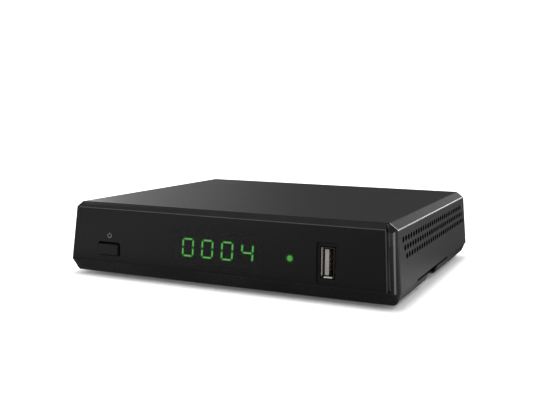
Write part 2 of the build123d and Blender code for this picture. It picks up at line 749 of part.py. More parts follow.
def digit(middle):
    """The seven leaning bars of a digit."""
    half = DIGIT_H / 2
    bars = [(0, level * half, segment(DIGIT_W, False)) for level in (-1, 0, 1)]
    bars += [(side * DIGIT_W / 2, level * half / 2, segment(half, True))
             for side in (-1, 1) for level in (-1, 1)]
    lean = DIGIT_LEAN / DIGIT_H
    return [Polygon(*[(middle + x + dx + lean * (h + dh), DISPLAY_RISE + h + dh)
                      for dx, dh in corners], align=None)
            for x, h, corners in bars]


def make_display_segments():
    bars = []
    for place in range(DIGITS):
        x = DISPLAY_X + (place - (DIGITS - 1) / 2) * DIGIT_PITCH
        bars += [slab(bar, DISPLAY_FRONT - SEGMENT_T, DISPLAY_FRONT) for bar in digit(x)]
    return cluster(bars)


def make_status_led():
    """A round lamp: a crowned front on a collar that stands on the front board."""
    lamp = rod(LED_X, LED_RISE, LED_R, 0, FRONT_BOARD)
    lamp = chamfer(front_edges(lamp, 0), LED_CROWN, LED_R / 2)
    return lamp + rod(LED_X, LED_RISE, LED_R + LED_COLLAR, FRONT_BOARD - LED_COLLAR_T,
                      FRONT_BOARD, more_sided)


def make_ir_receiver():
    """The remote-control eye: a block with a round lens, behind the lens plate."""
    body = block(EYE_X - EYE_W / 2, EYE_X + EYE_W / 2, WALL_BACK, FRONT_BOARD,
                 DISPLAY_RISE - EYE_H / 2, DISPLAY_RISE + EYE_H / 2)
    return body + rod(EYE_X, DISPLAY_RISE, EYE_W / 2, FACIA_T + LENS_GAP, WALL_BACK, more_sided)


def make_board_link():
    """A right-angle header that joins the two boards."""
    low = BOARD_TOP + LINK_T
    left = LINK_X - LINK_W / 2
    right = LINK_X + LINK_W / 2
    rear = BOARD_FRONT + 2 * LINK_T
    foot = block(left, right, BOARD_FRONT, rear, BOARD_TOP, low)
    return foot + block(left, right, FRONT_BOARD_BACK, rear, low, low + LINK_T)


# ---- Main board and what it carries ----
def make_main_board():
    board = block(-BOARD_HALF, BOARD_HALF, BOARD_FRONT, BOARD_REAR, BOARD_LOW, BOARD_TOP)
    # a tongue of the board carries the upright socket
    half = USB_W / 2 + STANDOFF_R
    board += block(USB_X - half, USB_X + half, WALL_BACK + STANDOFF_R, BOARD_FRONT,
                   BOARD_LOW, BOARD_TOP)
    for x, d in standoff_places():
        board -= post(x, d, SCREW_R + 2 * SCREW_FIT, BOARD_LOW - CUT, BOARD_TOP + CUT)
    return board


def make_main_board_screws():
    screws = []
    for x, d in standoff_places():
        shank = post(x, d, SCREW_R, BOARD_LOW - SCREW_GRIP, BOARD_TOP)
        screws.append(shank + post(x, d, HEAD_R, BOARD_TOP, BOARD_TOP + HEAD_H))
    return cluster(screws)


def make_usb_shell():
    outer = rounded(USB_X, USB_RISE, USB_W, USB_H, USB_SHEET)
    inner = Pos(USB_X, USB_RISE) * Rectangle(USB_W - 2 * USB_SHEET, USB_H - 2 * USB_SHEET)
    return slab(outer - inner, USB_FRONT, USB_FRONT + USB_L)


def make_usb_tongue():
    """The moulded insert: a block at the back of the shell with a tongue towards the mouth."""
    half_w = USB_W / 2 - USB_SHEET
    half_h = USB_H / 2 - USB_SHEET
    back = block(USB_X - half_w, USB_X + half_w, USB_BLOCK_FRONT, USB_FRONT + USB_L,
                 USB_RISE - half_h, USB_RISE + half_h)
    tongue = block(USB_TONGUE_X - USB_TONGUE_W / 2, USB_TONGUE_X + USB_TONGUE_W / 2,
                   USB_FRONT + USB_TONGUE_BACK, USB_BLOCK_FRONT,
                   USB_RISE - USB_TONGUE_H / 2, USB_RISE + USB_TONGUE_H / 2)
    return back + tongue


def make_usb_contacts():
    side = USB_TONGUE_X + USB_TONGUE_W / 2
    start = USB_FRONT + USB_TONGUE_BACK + USB_CONTACT_BACK
    middles = [USB_RISE + h for h in (-USB_CONTACT_OUTER, -USB_CONTACT_INNER,
                                      USB_CONTACT_INNER, USB_CONTACT_OUTER)]
    return cluster([block(side, side + USB_CONTACT_T, start, USB_BLOCK_FRONT,
                          h - USB_CONTACT_W / 2, h + USB_CONTACT_W / 2) for h in middles])


def make_processor():
    return on_board(CHIP_X, CHIP_DEPTH, CHIP_W, CHIP_W, CHIP_T)


def make_heat_sink():
    """An extruded sink: a base plate with upright fins along Y."""
    low = BOARD_TOP + CHIP_T
    half = SINK_W / 2
    front = CHIP_DEPTH - half
    back = CHIP_DEPTH + half
    sink = block(CHIP_X - half, CHIP_X + half, front, back, low, low + SINK_BASE)
    step = (SINK_W - FIN_T) / (FIN_COUNT - 1)
    for i in range(FIN_COUNT):
        x = CHIP_X - half + i * step
        sink += block(x, x + FIN_T, front, back, low + SINK_BASE, low + SINK_H)
    return sink


def make_memory_chips():
    return cluster([on_board(CHIP_X + x, CHIP_DEPTH + d, MEMORY_W, MEMORY_L, MEMORY_T)
                    for x, d in MEMORY_PLACES])


def make_capacitors():
    places = CAN_PLACES + tuple((x, REAR_WALL - REAR_CAN_IN) for x in REAR_CANS_IN)
    return cluster([post(x - BOARD_HALF, d, CAN_R, BOARD_TOP, BOARD_TOP + CAN_H)
                    for x, d in places])


def make_coils():
    return cluster([on_board(COIL_IN - BOARD_HALF, d, COIL_W, COIL_W, COIL_H)
                    for d in COIL_DEPTHS])


def make_crystal():
    middle = Pos(CHIP_X + CRYSTAL_RIGHT, depth(CHIP_DEPTH - CRYSTAL_AHEAD))
    return plate(middle * SlotOverall(CRYSTAL_L, CRYSTAL_W), BOARD_TOP, BOARD_TOP + CRYSTAL_H)


# ---- Card reader under the main board ----
def make_card_reader():
    """A flat housing under the board, open to the slot in the right side."""
    half = CARD_W / 2 + READER_MARGIN
    left = READER_RIGHT - READER_L
    body = block(left, READER_RIGHT, SLIT_MIDDLE - half, SLIT_MIDDLE + half, READER_LOW, BOARD_LOW)
    return body - block(left + READER_MARGIN, READER_RIGHT + CUT, SLIT_MIDDLE - CARD_W / 2,
                        SLIT_MIDDLE + CARD_W / 2, CARD_RISE, CARD_RISE + CARD_H)


def make_card_contacts():
    """Two rows of contact springs on the roof of the card channel."""
    top = CARD_RISE + CARD_H
    bars = []
    for row in range(2):
        x = READER_RIGHT - CARD_CONTACT_IN + row * CARD_CONTACT_STEP
        for i in range(CARD_CONTACTS):
            d = SLIT_MIDDLE + (i - (CARD_CONTACTS - 1) / 2) * CARD_CONTACT_PITCH
            bars.append(block(x, x + CARD_CONTACT_L, d - CARD_CONTACT_W / 2,
                              d + CARD_CONTACT_W / 2, top - CARD_CONTACT_T, top))
    return cluster(bars)


# ---- Rear sockets ----
def make_tuner_can():
    """A screened box on the board, its rear wall just inside the set's rear wall."""
    half = TUNER_W / 2
    front = SOCKET_BACK - TUNER_D
    top = BOARD_TOP + TUNER_H
    can = block(TUNER_X - half, TUNER_X + half, front, SOCKET_BACK, BOARD_TOP, top)
    can -= block(TUNER_X - half + SHEET, TUNER_X + half - SHEET, front + SHEET,
                 SOCKET_BACK - SHEET, BOARD_TOP, top - SHEET)
    return can - rod(TUNER_X, COAX_RISE, COAX_SPIGOT_R, SOCKET_BACK - 2 * SHEET, REAR_WALL,
                     few_sided)


def make_lnb_connector():
    """The threaded barrel of the aerial input, riveted through the can's rear wall."""
    nut_end = REAR_WALL + NUT_T
    barrel = rod(TUNER_X, COAX_RISE, COAX_R, nut_end, COAX_END)
    barrel = chamfer(front_edges(barrel, COAX_END), COAX_CHAMFER)
    barrel += rod(TUNER_X, COAX_RISE, COAX_R - COAX_RELIEF, SOCKET_BACK, nut_end, more_sided)
    barrel += rod(TUNER_X, COAX_RISE, COAX_SPIGOT_R, SOCKET_BACK - 2 * SHEET, SOCKET_BACK,
                  few_sided)
    return barrel - rod(TUNER_X, COAX_RISE, COAX_BORE, REAR_WALL + COAX_L / 2, COAX_END + CUT,
                        few_sided)


def make_lnb_nut():
    hexagon = RegularPolygon(NUT_AF / 2, 6, major_radius=False)
    hexagon -= more_sided(COAX_R - COAX_RELIEF + NUT_FIT)
    return slab(Pos(TUNER_X, COAX_RISE) * hexagon, REAR_WALL, REAR_WALL + NUT_T)


def scart_front(margin):
    """Outline of the mouth: a long rectangle with one slanted lower corner."""
    a = SCART_W / 2 + margin
    b = SCART_H / 2 + margin
    shape = Polygon((-a, -b), (a - SCART_CUT, -b), (a, SCART_CUT - b), (a, b), (-a, b), align=None)
    return Pos(SCART_X, SCART_RISE) * shape


def scart_slots(row):
    """One row of contact slots; the lower row stands half a pitch to the side of the upper."""
    middle = SCART_X - SCART_CUT / 4 + row * SCART_SLOT_PITCH / 4
    level = SCART_RISE + row * SCART_SLOT_RISE
    return [Pos(middle + (i - (SCART_SLOTS - 1) / 2) * SCART_SLOT_PITCH, level)
            * Rectangle(SCART_SLOT_W, SCART_SLOT_H) for i in range(SCART_SLOTS)]


def make_scart_socket():
    """The audio and video socket: a mouth that stands through the wall, with a contact block."""
    half = SCART_BODY_W / 2
    front = REAR_WALL + SCART_PROUD
    body = block(SCART_X - half, SCART_X + half, SOCKET_BACK - SCART_BODY_D, SOCKET_BACK,
                 BOARD_TOP, BOARD_TOP + SCART_BODY_H)
    body += slab(scart_front(0), SOCKET_BACK, front)
    trench = scart_front(-SCART_WALL) - scart_front(-SCART_WALL - SCART_ISLAND)
    body -= slab(trench, front - SCART_CAVITY, front + CUT)
    body -= slab(Sketch() + scart_slots(1) + scart_slots(-1), front - SCART_CAVITY, front + CUT)
    return body


def hdmi_front(margin):
    """Outline of the shell: a flat rectangle with both lower corners slanted."""
    a = HDMI_W / 2 + margin
    b = HDMI_H / 2 + margin
    shape = Polygon((-a, b), (-a, HDMI_CUT - b), (HDMI_CUT - a, -b), (a - HDMI_CUT, -b),
                    (a, HDMI_CUT - b), (a, b), align=None)
    return Pos(HDMI_X, HDMI_RISE) * shape


def make_hdmi_shell():
    return slab(hdmi_front(0) - hdmi_front(-HDMI_SHEET), HDMI_BACK - HDMI_L, HDMI_BACK)


def make_hdmi_tongue():
    """The moulded insert of the flat socket."""
    block_end = HDMI_BACK - HDMI_L + HDMI_BLOCK
    insert = slab(hdmi_front(-HDMI_SHEET), HDMI_BACK - HDMI_L, block_end)
    return insert + block(HDMI_X - HDMI_TONGUE_W / 2, HDMI_X + HDMI_TONGUE_W / 2, block_end,
                          HDMI_BACK - HDMI_TONGUE_BACK, HDMI_RISE, HDMI_RISE + HDMI_TONGUE_H)


def make_audio_socket():
    """The digital audio socket's moulded body, with the core that fills its sleeve."""
    body = on_board(AUDIO_X, SOCKET_BACK - AUDIO_D / 2, AUDIO_W, AUDIO_D, AUDIO_H)
    core_end = SLEEVE_END - AUDIO_CORE_BACK
    body += rod(AUDIO_X, AUDIO_RISE, AUDIO_BOSS_R, SOCKET_BACK, SLEEVE_FRONT, more_sided)
    body += rod(AUDIO_X, AUDIO_RISE, AUDIO_CORE_R, SOCKET_BACK, core_end, more_sided)
    return body - rod(AUDIO_X, AUDIO_RISE, AUDIO_BORE, REAR_WALL, core_end + CUT, few_sided)


def make_audio_sleeve():
    """The metal sleeve, standing on the boss round the core."""
    ring = Pos(AUDIO_X, AUDIO_RISE) * (Circle(SLEEVE_R) - Circle(SLEEVE_R - SLEEVE_T))
    return slab(ring, SLEEVE_FRONT, SLEEVE_END)


def make_power_inlet():
    """The low-voltage inlet: a block with a round mouth."""
    mouth = REAR_WALL + INLET_PROUD
    body = on_board(INLET_X, SOCKET_BACK - INLET_D / 2, INLET_W, INLET_D, INLET_H)
    body += rod(INLET_X, INLET_RISE, INLET_BOSS_R, SOCKET_BACK, mouth, more_sided)
    return body - rod(INLET_X, INLET_RISE, INLET_BORE, REAR_WALL - INLET_REACH, mouth + CUT,
                      more_sided)


def make_power_inlet_pin():
    return rod(INLET_X, INLET_RISE, INLET_PIN_R, REAR_WALL - INLET_REACH,
               REAR_WALL - INLET_PIN_BACK, few_sided)


# ---- Feet and cover screws ----
def make_rubber_feet():
    """Four tapered feet, stuck under the tray."""
    foot = loft([more_sided(FOOT_R - FOOT_TAPER), Pos(0, 0, FOOT_H) * more_sided(FOOT_R)])
    return cluster([Pos(side * FOOT_X, depth(d), 0) * foot
                    for side in (-1, 1) for d in (FOOT_FRONT, REAR_WALL - FOOT_REAR)])


def make_cover_screws():
    """Two screws through the rear wall into the cover's tabs."""
    screws = []
    for side in (-1, 1):
        x = side * COVER_SCREW_X
        shank = rod(x, COVER_SCREW_RISE, SCREW_R, SOCKET_BACK - SCREW_GRIP, REAR_WALL, few_sided)
        head = rod(x, COVER_SCREW_RISE, HEAD_R, REAR_WALL, REAR_WALL + HEAD_H, more_sided)
        arms = Rectangle(CROSS_W, CROSS_L) + Rectangle(CROSS_L, CROSS_W)
        cross = slab(Pos(x, COVER_SCREW_RISE) * arms, REAR_WALL + HEAD_H / 2,
                     REAR_WALL + HEAD_H + CUT)
        screws.append(shank + head - cross)
    return cluster(screws)


NODES = {
    "top_cover": make_top_cover,
    "bottom_chassis": make_bottom_chassis,
    "front_bezel": make_front_bezel,
    "facia_panel": make_facia_panel,
    "power_button": make_power_button,
    "tact_switch": make_tact_switch,
    "switch_plunger": make_switch_plunger,
    "front_board": make_front_board,
    "front_board_screws": make_front_board_screws,
    "led_display": make_led_display,
    "display_segments": make_display_segments,
    "status_led": make_status_led,
    "ir_receiver": make_ir_receiver,
    "board_link": make_board_link,
    "main_board": make_main_board,
    "main_board_screws": make_main_board_screws,
    "usb_shell": make_usb_shell,
    "usb_tongue": make_usb_tongue,
    "usb_contacts": make_usb_contacts,
    "processor": make_processor,
    "heat_sink": make_heat_sink,
    "memory_chips": make_memory_chips,
    "capacitors": make_capacitors,
    "coils": make_coils,
    "crystal": make_crystal,
    "card_reader": make_card_reader,
    "card_contacts": make_card_contacts,
    "tuner_can": make_tuner_can,
    "lnb_connector": make_lnb_connector,
    "lnb_nut": make_lnb_nut,
    "scart_socket": make_scart_socket,
    "hdmi_shell": make_hdmi_shell,
    "hdmi_tongue": make_hdmi_tongue,
    "audio_socket": make_audio_socket,
    "audio_sleeve": make_audio_sleeve,
    "power_inlet": make_power_inlet,
    "power_inlet_pin": make_power_inlet_pin,
    "rubber_feet": make_rubber_feet,
    "cover_screws": make_cover_screws,
}

os.makedirs("parts", exist_ok=True)
for name, make in NODES.items():
    export_step(make(), f"parts/{name}.step")
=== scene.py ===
"""Dresses the CAD model of the satellite receiver: finer forms, finishes, studio and camera.

Lengths are in mm, but in metres in the shaders and in the studio. at() turns a place on the set,
in mm, into a point in the frame, in metres.
"""

import json
import math

import bmesh
import bpy
from mathutils import Matrix, Vector


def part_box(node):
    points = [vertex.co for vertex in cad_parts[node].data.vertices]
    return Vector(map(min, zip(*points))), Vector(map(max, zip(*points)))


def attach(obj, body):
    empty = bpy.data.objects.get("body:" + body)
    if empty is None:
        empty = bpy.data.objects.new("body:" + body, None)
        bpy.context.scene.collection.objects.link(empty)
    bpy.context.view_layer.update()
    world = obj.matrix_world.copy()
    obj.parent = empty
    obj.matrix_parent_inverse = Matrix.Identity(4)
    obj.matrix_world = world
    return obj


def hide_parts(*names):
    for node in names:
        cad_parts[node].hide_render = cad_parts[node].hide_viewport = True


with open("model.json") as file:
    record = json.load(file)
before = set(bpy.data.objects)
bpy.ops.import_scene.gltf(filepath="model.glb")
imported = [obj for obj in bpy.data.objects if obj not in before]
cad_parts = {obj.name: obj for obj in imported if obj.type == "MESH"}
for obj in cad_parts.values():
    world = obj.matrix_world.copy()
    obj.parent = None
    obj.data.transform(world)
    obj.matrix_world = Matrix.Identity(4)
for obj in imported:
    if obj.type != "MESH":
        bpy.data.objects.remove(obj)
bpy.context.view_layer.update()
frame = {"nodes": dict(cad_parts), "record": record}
NODES = frame["nodes"]

# The slot that names each node's finish.
FINISH = {part["node"]: part["material_slot"] for part in frame["record"]["subparts"]}
SCENE = bpy.context.scene
MM = 0.001

# ---------------------------------------------------------------- sizes shared with the CAD, in mm
# A place on the set is its X, its depth behind the face and its rise above the bezel's underside.
FACE_Y = -72.05
GROUND_GAP = 2.0                    # the feet lift the set by this
BODY_H = 34.2
FACE_TOP = 31.91                    # rise at which the top bevel begins
LOW_BEVEL_H = 5.56                  # rise at which the low bevel ends
BEVEL_D = 3.38                      # how far the bevels run back
FACIA_RIM = 0.5                     # the bezel's rim above and below the lens plate
COVER_FRONT = 3.53                  # depth of the cover's front edge
TOP_HALF = 77.06                    # half the width of the cover's flat top
SHOULDER_HALF, SHOULDER_RISE = 80.84, 31.4
FOLD_HALF, FOLD_RISE = 83.2, 5.72   # foot of the cover's side wall
WALL_LEAN = 2.36                    # the wall leans in by this from there to the shoulder
VENT_ROWS, VENT_COLUMNS = 3, 28
VENT_PITCH, VENT_ROW_PITCH = 4.28, 3.75
VENT_START, VENT_DROP = 10.3, 4.7   # depth of the first vent, and its way down the wall
BUTTON_X, BUTTON_RISE, BUTTON_W, BUTTON_H = -59.6, 12.4, 11.8, 5.9
LED_X, LED_RISE, LED_R = 34.6, 16.3, 1.5
USB_X, USB_RISE, USB_W, USB_H, USB_SHEET = 51.6, 15.75, 5.9, 13.1, 0.35
DISPLAY_X, DISPLAY_RISE, DISPLAY_W, DISPLAY_H = -1.5, 16.55, 40.6, 12.8
DISPLAY_FRONT = 1.5                 # depth of the module that carries the digits
DIGIT_PITCH, DIGIT_W, DIGIT_H, DIGIT_LEAN = 10.1, 5.25, 7.8, 0.48

# ---------------------------------------------------------------- sizes of the finer forms, in mm
VENT_HALF = (1.58, 1.28)            # a vent's half length along the wall and half height
VENT_SIDES, PUNCH_LENGTH = 20, 4.0
VENT_LOW, VENT_HIGH = 14.0, 31.0    # heights above the floor between which the vents lie
WALL_HALF = 79.06                   # the vents lie outside this X
EDGE_STRIP = 0.45                   # bare steel along the cover's front edge, painted pale as its highlight
EDGE_START = 0.2                    # it begins this far outside the flat top
PAINTED_FOLD_BAND = 1.3                     # the shoulder's fold is painted as a highlight from this far in
LEFT_END = -77.2                    # the bezel's far end is cut square from here
PLATE_END = LEFT_END + 0.3          # up to here it is finished like the lens plate
END_OVERLAP = 0.6                   # the square end reaches this far into the bezel
END_CLEAR = 0.3                     # its side is shaded from this far out
TRIM_END, TRIM_SPARE = -90.0, 2.0   # the cutter's far end, and what it stands over the bezel
WELL_HALF_W, WELL_HALF_H = 5.0, 9.1     # the well round the USB socket
WELL_SKIN = 0.4                     # its shade begins at this depth
LAND_IN, LAND_OUT, LAND_W = 76.2, 78.5, 0.6     # the flat beside the plate, and its strip painted lighter as a highlight
GROOVE_TOP, GROOVE_LOW = 76.9, 78.3     # X of the end groove at its top and foot
# the painted highlight down the near corner: X and rise of its middle at two places, and half its
# width
GLINT_TOP, GLINT_LOW, GLINT_HALF = (80.0, 30.0), (81.31, 6.0), 0.35
CORNER_X = 78.0                     # outside this the bevels belong to the corner
BUTTON_FALL, BUTTON_SKIRT = 0.6, 0.4    # how far the cap's edges fall away, and how deep
WINDOW_SPARE = 2.6                  # the clear window is this much larger than the display
SEGMENT_W, SEGMENT_GAP, SEGMENT_TIP = 0.94, 0.46, 0.16
SEGMENT_EDGE, SEGMENT_CROWN = 0.14, 0.19    # how far a segment's rim and its crown stand out
CROWN_ALONG, CROWN_ACROSS = 0.86, 0.45  # the crown's share of a segment's length and width
DIGIT_GLOW, GLOW_DEPTH = 0.9, 1.26  # how far the glow reaches round a segment, and its depth
LED_GLOW, LED_RIM = 1.1, 0.1        # the lamp's glow: its reach, and its lap over the rim
PRINT_LIFT = 0.012                  # ink lies this far in front of the lens plate
SYMBOL_X, SYMBOL_RISE, SYMBOL_R, SYMBOL_LINE = -59.25, 18.9, 1.02, 0.2
SYMBOL_GAP = 38                     # degrees on each side of the top where the ring is broken
SYMBOL_BAR = (0.45, 1.4)            # the bar's two ends above the ring's middle
# the aerial input's thread: where it starts and ends behind the face, its pitch and depth
THREAD, THREAD_PITCH, THREAD_DEPTH = (137.2, 144.2), 0.8, 0.35
THREAD_CORE = 0.9                   # only what lies outside this share of the radius is cut
USB_LIP = 2.5                       # depth to which the shell's mouth has its painted shade and reflections
SILL_H, SILL_START, SILL_END = 0.6, 0.9, 0.95   # the sill's painted reflection: height, distances from the walls
TONGUE_EDGE = 0.3                   # the tongue's dark edges are worked out from this
SLACK = 0.05                        # allowance when a face is found by its middle
ON_RING = 0.01                      # allowance when a point is found on one of the thread's rings

# How far a face's normal leans along an axis: 0 is not at all, and 1 is straight along it.
LEANS, HALFWAY, FLAT = 0.3, 0.5, 0.95
FOLD_LOW, FOLD_HIGH = 0.16, 0.74    # upward lean of the faces on the shoulder's fold
VENT_ASIDE = 0.6                    # a vent's own walls lean less than this to the side
END_ASIDE = 0.25                    # the far end's side leans more than this to the side
GLINT_UP = 0.2                      # the glint leans less than this up or down
FACE_LINE_UP = 0.62                 # the rounded edge over the face leans less than this up
SKIRT_AHEAD = 0.35                  # the button's skirt leans less than this to the front

X_AXIS, Y_AXIS, Z_AXIS = (1, 0, 0), (0, 1, 0), (0, 0, 1)


def at(x, depth, rise):
    """A place on the set, as a point in the frame in metres."""
    return Vector((x, FACE_Y + depth, GROUND_GAP + rise)) * MM


# ---------------------------------------------------------------- materials
class Shader:
    """Builds the node tree of its owner, a material or the world, up to the output node `end`."""

    def __init__(self, owner, end):
        owner.use_nodes = True
        self.owner = owner
        self.tree = owner.node_tree
        self.tree.nodes.clear()
        self.end = self.node(end)

    def node(self, kind, sockets=None, **settings):
        """A new node, with its settings made and its sockets linked or set."""
        node = self.tree.nodes.new("ShaderNode" + kind)
        for key, value in settings.items():
            setattr(node, key, value)
        for key, value in (sockets or {}).items():
            self.put(node.inputs[key], value)
        return node

    def put(self, socket, value):
        """Links a socket, or sets a plain value on it."""
        if isinstance(value, bpy.types.NodeSocket):
            self.tree.links.new(value, socket)
        else:
            socket.default_value = value

    def place(self, scale=(1, 1, 1)):
        """Coordinates fixed to the object, in metres, times a scale."""
        coords = self.node("TexCoord")
        return self.node("Mapping", {"Vector": coords.outputs["Object"], "Scale": scale}).outputs[0]

    def split(self, kind):
        """The X, Y and Z sockets of a kind of texture coordinates."""
        return self.node("SeparateXYZ", {0: self.node("TexCoord").outputs[kind]}).outputs

    def noise(self, vector, scale, detail=3.0, rough=0.55):
        """Soft noise between 0 and 1."""
        return self.node("TexNoise", {"Vector": vector, "Scale": scale, "Detail": detail,
                                      "Roughness": rough}).outputs["Fac"]

    def cells(self, vector, scale):
        """The distance to the nearest of scattered points."""
        return self.node("TexVoronoi", {"Vector": vector, "Scale": scale}).outputs["Distance"]

    def span(self, value, low, high, start=0.3, end=0.7, shape="LINEAR"):
        """Runs from low to high while the value runs from start to end."""
        return self.node("MapRange", {"Value": value, "From Min": start, "From Max": end,
                                      "To Min": low, "To Max": high},
                         interpolation_type=shape).outputs[0]

    def step(self, value, low, high, start, end):
        """The same with soft ends."""
        return self.span(value, low, high, start, end, "SMOOTHSTEP")

    def math(self, operation, a, b=0.0):
        """One operation on two values."""
        return self.node("Math", {0: a, 1: b}, operation=operation).outputs[0]

    def times(self, a, b):
        return self.math("MULTIPLY", a, b)

    def most(self, first, *others):
        """The largest of some values."""
        for other in others:
            first = self.math("MAXIMUM", first, other)
        return first

    def mix(self, factor, a, b):
        """A colour between two others."""
        return self.node("Mix", {0: factor, 6: a, 7: b}, data_type="RGBA").outputs[2]

    def bump(self, height, strength, distance, normal=None):
        """A normal that follows a height, on top of another bump where one is given."""
        sockets = {"Height": height, "Strength": strength, "Distance": distance}
        if normal is not None:
            sockets["Normal"] = normal
        return self.node("Bump", sockets).outputs[0]

    def core(self):
        """The corner attribute that runs from 0 at a light's rim to 1 at its middle."""
        return self.node("Attribute", attribute_name="core").outputs["Fac"]

    def show(self, node):
        """Ends the tree with a node, and gives back the tree's owner."""
        self.tree.links.new(node.outputs[0], self.end.inputs[0])
        return self.owner

    def see_through(self, share):
        """Lets a share of what lies behind show through the surface too."""
        made = self.end.inputs[0].links[0].from_socket
        clear = self.node("BsdfTransparent", {"Color": share})
        return self.show(self.node("AddShader", {0: made, 1: clear.outputs[0]}))

    def surface(self, **sockets):
        """Ends the tree with a principled surface: in a socket's name, _ stands for a space."""
        return self.show(self.node("BsdfPrincipled",
                                   {key.replace("_", " "): v for key, v in sockets.items()}))


def new_finish(name):
    """The shader of a new material."""
    return Shader(bpy.data.materials.new(name), "OutputMaterial")


def rgb(r, g=None, b=None):
    """A linear colour, or a grey where only one value is given."""
    return (r, r if g is None else g, r if b is None else b, 1.0)


def cover_paint():
    """Satin black coat over steel that was brushed across the set: hairlines, faint orange peel."""
    s = new_finish("cover_paint")
    streak = s.noise(s.place((5.0, 2600.0, 5.0)), 1.0, 4.0, 0.65)
    coarse = s.noise(s.place((3.0, 420.0, 3.0)), 1.0, 2.0)
    peel = s.noise(s.place(), 1500.0, 2.0)
    cloud = s.noise(s.place(), 22.0, 3.0)
    tone = s.math("ADD", s.times(streak, 0.6), s.times(coarse, 0.4))
    colour = s.mix(s.span(tone, 0.0, 1.0), rgb(0.0215, 0.0196, 0.0206), rgb(0.0340, 0.0316, 0.0332))
    colour = s.mix(s.span(cloud, 0.0, 0.18), colour, rgb(0.030, 0.026, 0.028))
    rough = s.math("ADD", s.span(tone, 0.30, 0.42), s.span(peel, -0.03, 0.03))
    normal = s.bump(streak, 0.16, 0.00002)
    normal = s.bump(peel, 0.10, 0.00002, normal)
    return s.surface(Base_Color=colour, Roughness=rough, Normal=normal, Specular_IOR_Level=0.2)


def chassis_paint():
    """The tray's coat, a little duller than the cover's."""
    s = new_finish("chassis_paint")
    peel = s.noise(s.place(), 1200.0, 3.0)
    cloud = s.noise(s.place(), 30.0, 3.0)
    colour = s.mix(s.span(cloud, 0.0, 1.0), rgb(0.014, 0.014, 0.015), rgb(0.022, 0.022, 0.024))
    rough = s.math("ADD", s.span(cloud, 0.36, 0.46), s.span(peel, -0.04, 0.04))
    return s.surface(Base_Color=colour, Roughness=rough, Normal=s.bump(peel, 0.15, 0.00003),
                     Specular_IOR_Level=0.25)


def bezel_plastic():
    """Moulded black plastic with a fine spark-eroded satin."""
    s = new_finish("bezel_plastic")
    grain = s.noise(s.place(), 3800.0, 3.0, 0.6)
    cloud = s.noise(s.place(), 25.0, 2.0)
    colour = s.mix(s.span(cloud, 0.0, 1.0), rgb(0.006, 0.006, 0.007), rgb(0.010, 0.010, 0.011))
    rough = s.math("ADD", s.span(grain, 0.20, 0.30), s.span(cloud, -0.02, 0.03))
    return s.surface(Base_Color=colour, Roughness=rough, Normal=s.bump(grain, 0.12, 0.00001),
                     Specular_IOR_Level=0.22)


def lens_plate(name="lens_plate", clear=None):
    """Back-printed gloss plate: slight waviness, dust specks, wipe marks.

    A window is the same plate, and clear is the share of light that comes through it.
    """
    s = new_finish(name)
    wave = s.noise(s.place(), 60.0, 2.0)
    wipe = s.noise(s.place((60.0, 60.0, 420.0)), 1.0, 5.0, 0.7)
    dust = s.span(s.cells(s.place(), 900.0), 1.0, 0.0, 0.03, 0.07)
    colour = s.mix(s.times(dust, 0.5), rgb(0.0062, 0.0062, 0.0066), rgb(0.03))
    rough = s.math("ADD", s.span(wipe, 0.05, 0.13), s.times(dust, 0.3))
    s.surface(Base_Color=colour, Roughness=rough, Normal=s.bump(wave, 0.02, 0.0002),
              Specular_IOR_Level=0.16)
    return s.owner if clear is None else s.see_through(clear)


def window_back():
    """The inner face of the display's window, which only tints what is seen through it."""
    s = new_finish("window_back")
    tint = s.mix(s.noise(s.place(), 300.0), rgb(0.58, 0.60, 0.58), rgb(0.62, 0.64, 0.62))
    return s.show(s.node("BsdfTransparent", {"Color": tint}))


def button_plastic():
    """The button's cap, smoother than the frame round it."""
    s = new_finish("button_plastic")
    grain = s.noise(s.place(), 2600.0, 3.0)
    colour = s.mix(s.span(grain, 0.0, 1.0), rgb(0.008, 0.008, 0.0085), rgb(0.011, 0.011, 0.012))
    return s.surface(Base_Color=colour, Roughness=s.span(grain, 0.16, 0.26),
                     Normal=s.bump(grain, 0.06, 0.00001), Specular_IOR_Level=0.11)


def moulded(name, low, high, rough=(0.42, 0.6), scale=2200.0, level=0.4):
    """Moulded plastic with a grain, clouded from one colour to another."""
    s = new_finish(name)
    grain = s.noise(s.place(), scale, 4.0, 0.6)
    cloud = s.noise(s.place(), 120.0, 2.0)
    colour = s.mix(s.span(cloud, 0.0, 1.0), low, high)
    return s.surface(Base_Color=colour, Roughness=s.span(grain, *rough),
                     Normal=s.bump(grain, 0.2, 0.00003), Specular_IOR_Level=level)


def painted_glint_plastic():
    """The line down the bezel's near corner: a hard gloss, and a lighter grey as its painted
    highlight.
    """
    s = new_finish("painted_glint_plastic")
    grain = s.noise(s.place(), 3000.0, 4.0, 0.6)
    colour = s.mix(s.span(grain, 0.0, 1.0), rgb(0.042, 0.041, 0.044), rgb(0.054, 0.053, 0.056))
    return s.surface(Base_Color=colour, Roughness=s.span(grain, 0.16, 0.24), IOR=2.0,
                     Specular_IOR_Level=0.5)


def metal(name, low, high, rough, along=(1, 1, 1), scale=600.0, spots=0.0):
    """Plated or bare metal with drawn lines along one axis and slight tarnish."""
    s = new_finish(name)
    line = s.noise(s.place(along), scale, 4.0, 0.7)
    cloud = s.noise(s.place(), 350.0, 3.0)
    colour = s.mix(s.span(cloud, 0.0, 1.0), low, high)
    if spots:
        mottle = s.noise(s.place(), 1300.0, 2.0)
        colour = s.mix(s.span(mottle, 0.0, spots, 0.45, 0.6), colour, rgb(0.16, 0.10, 0.05))
    return s.surface(Base_Color=colour, Metallic=1.0, Roughness=s.span(line, *rough),
                     Normal=s.bump(line, 0.12, 0.00002))


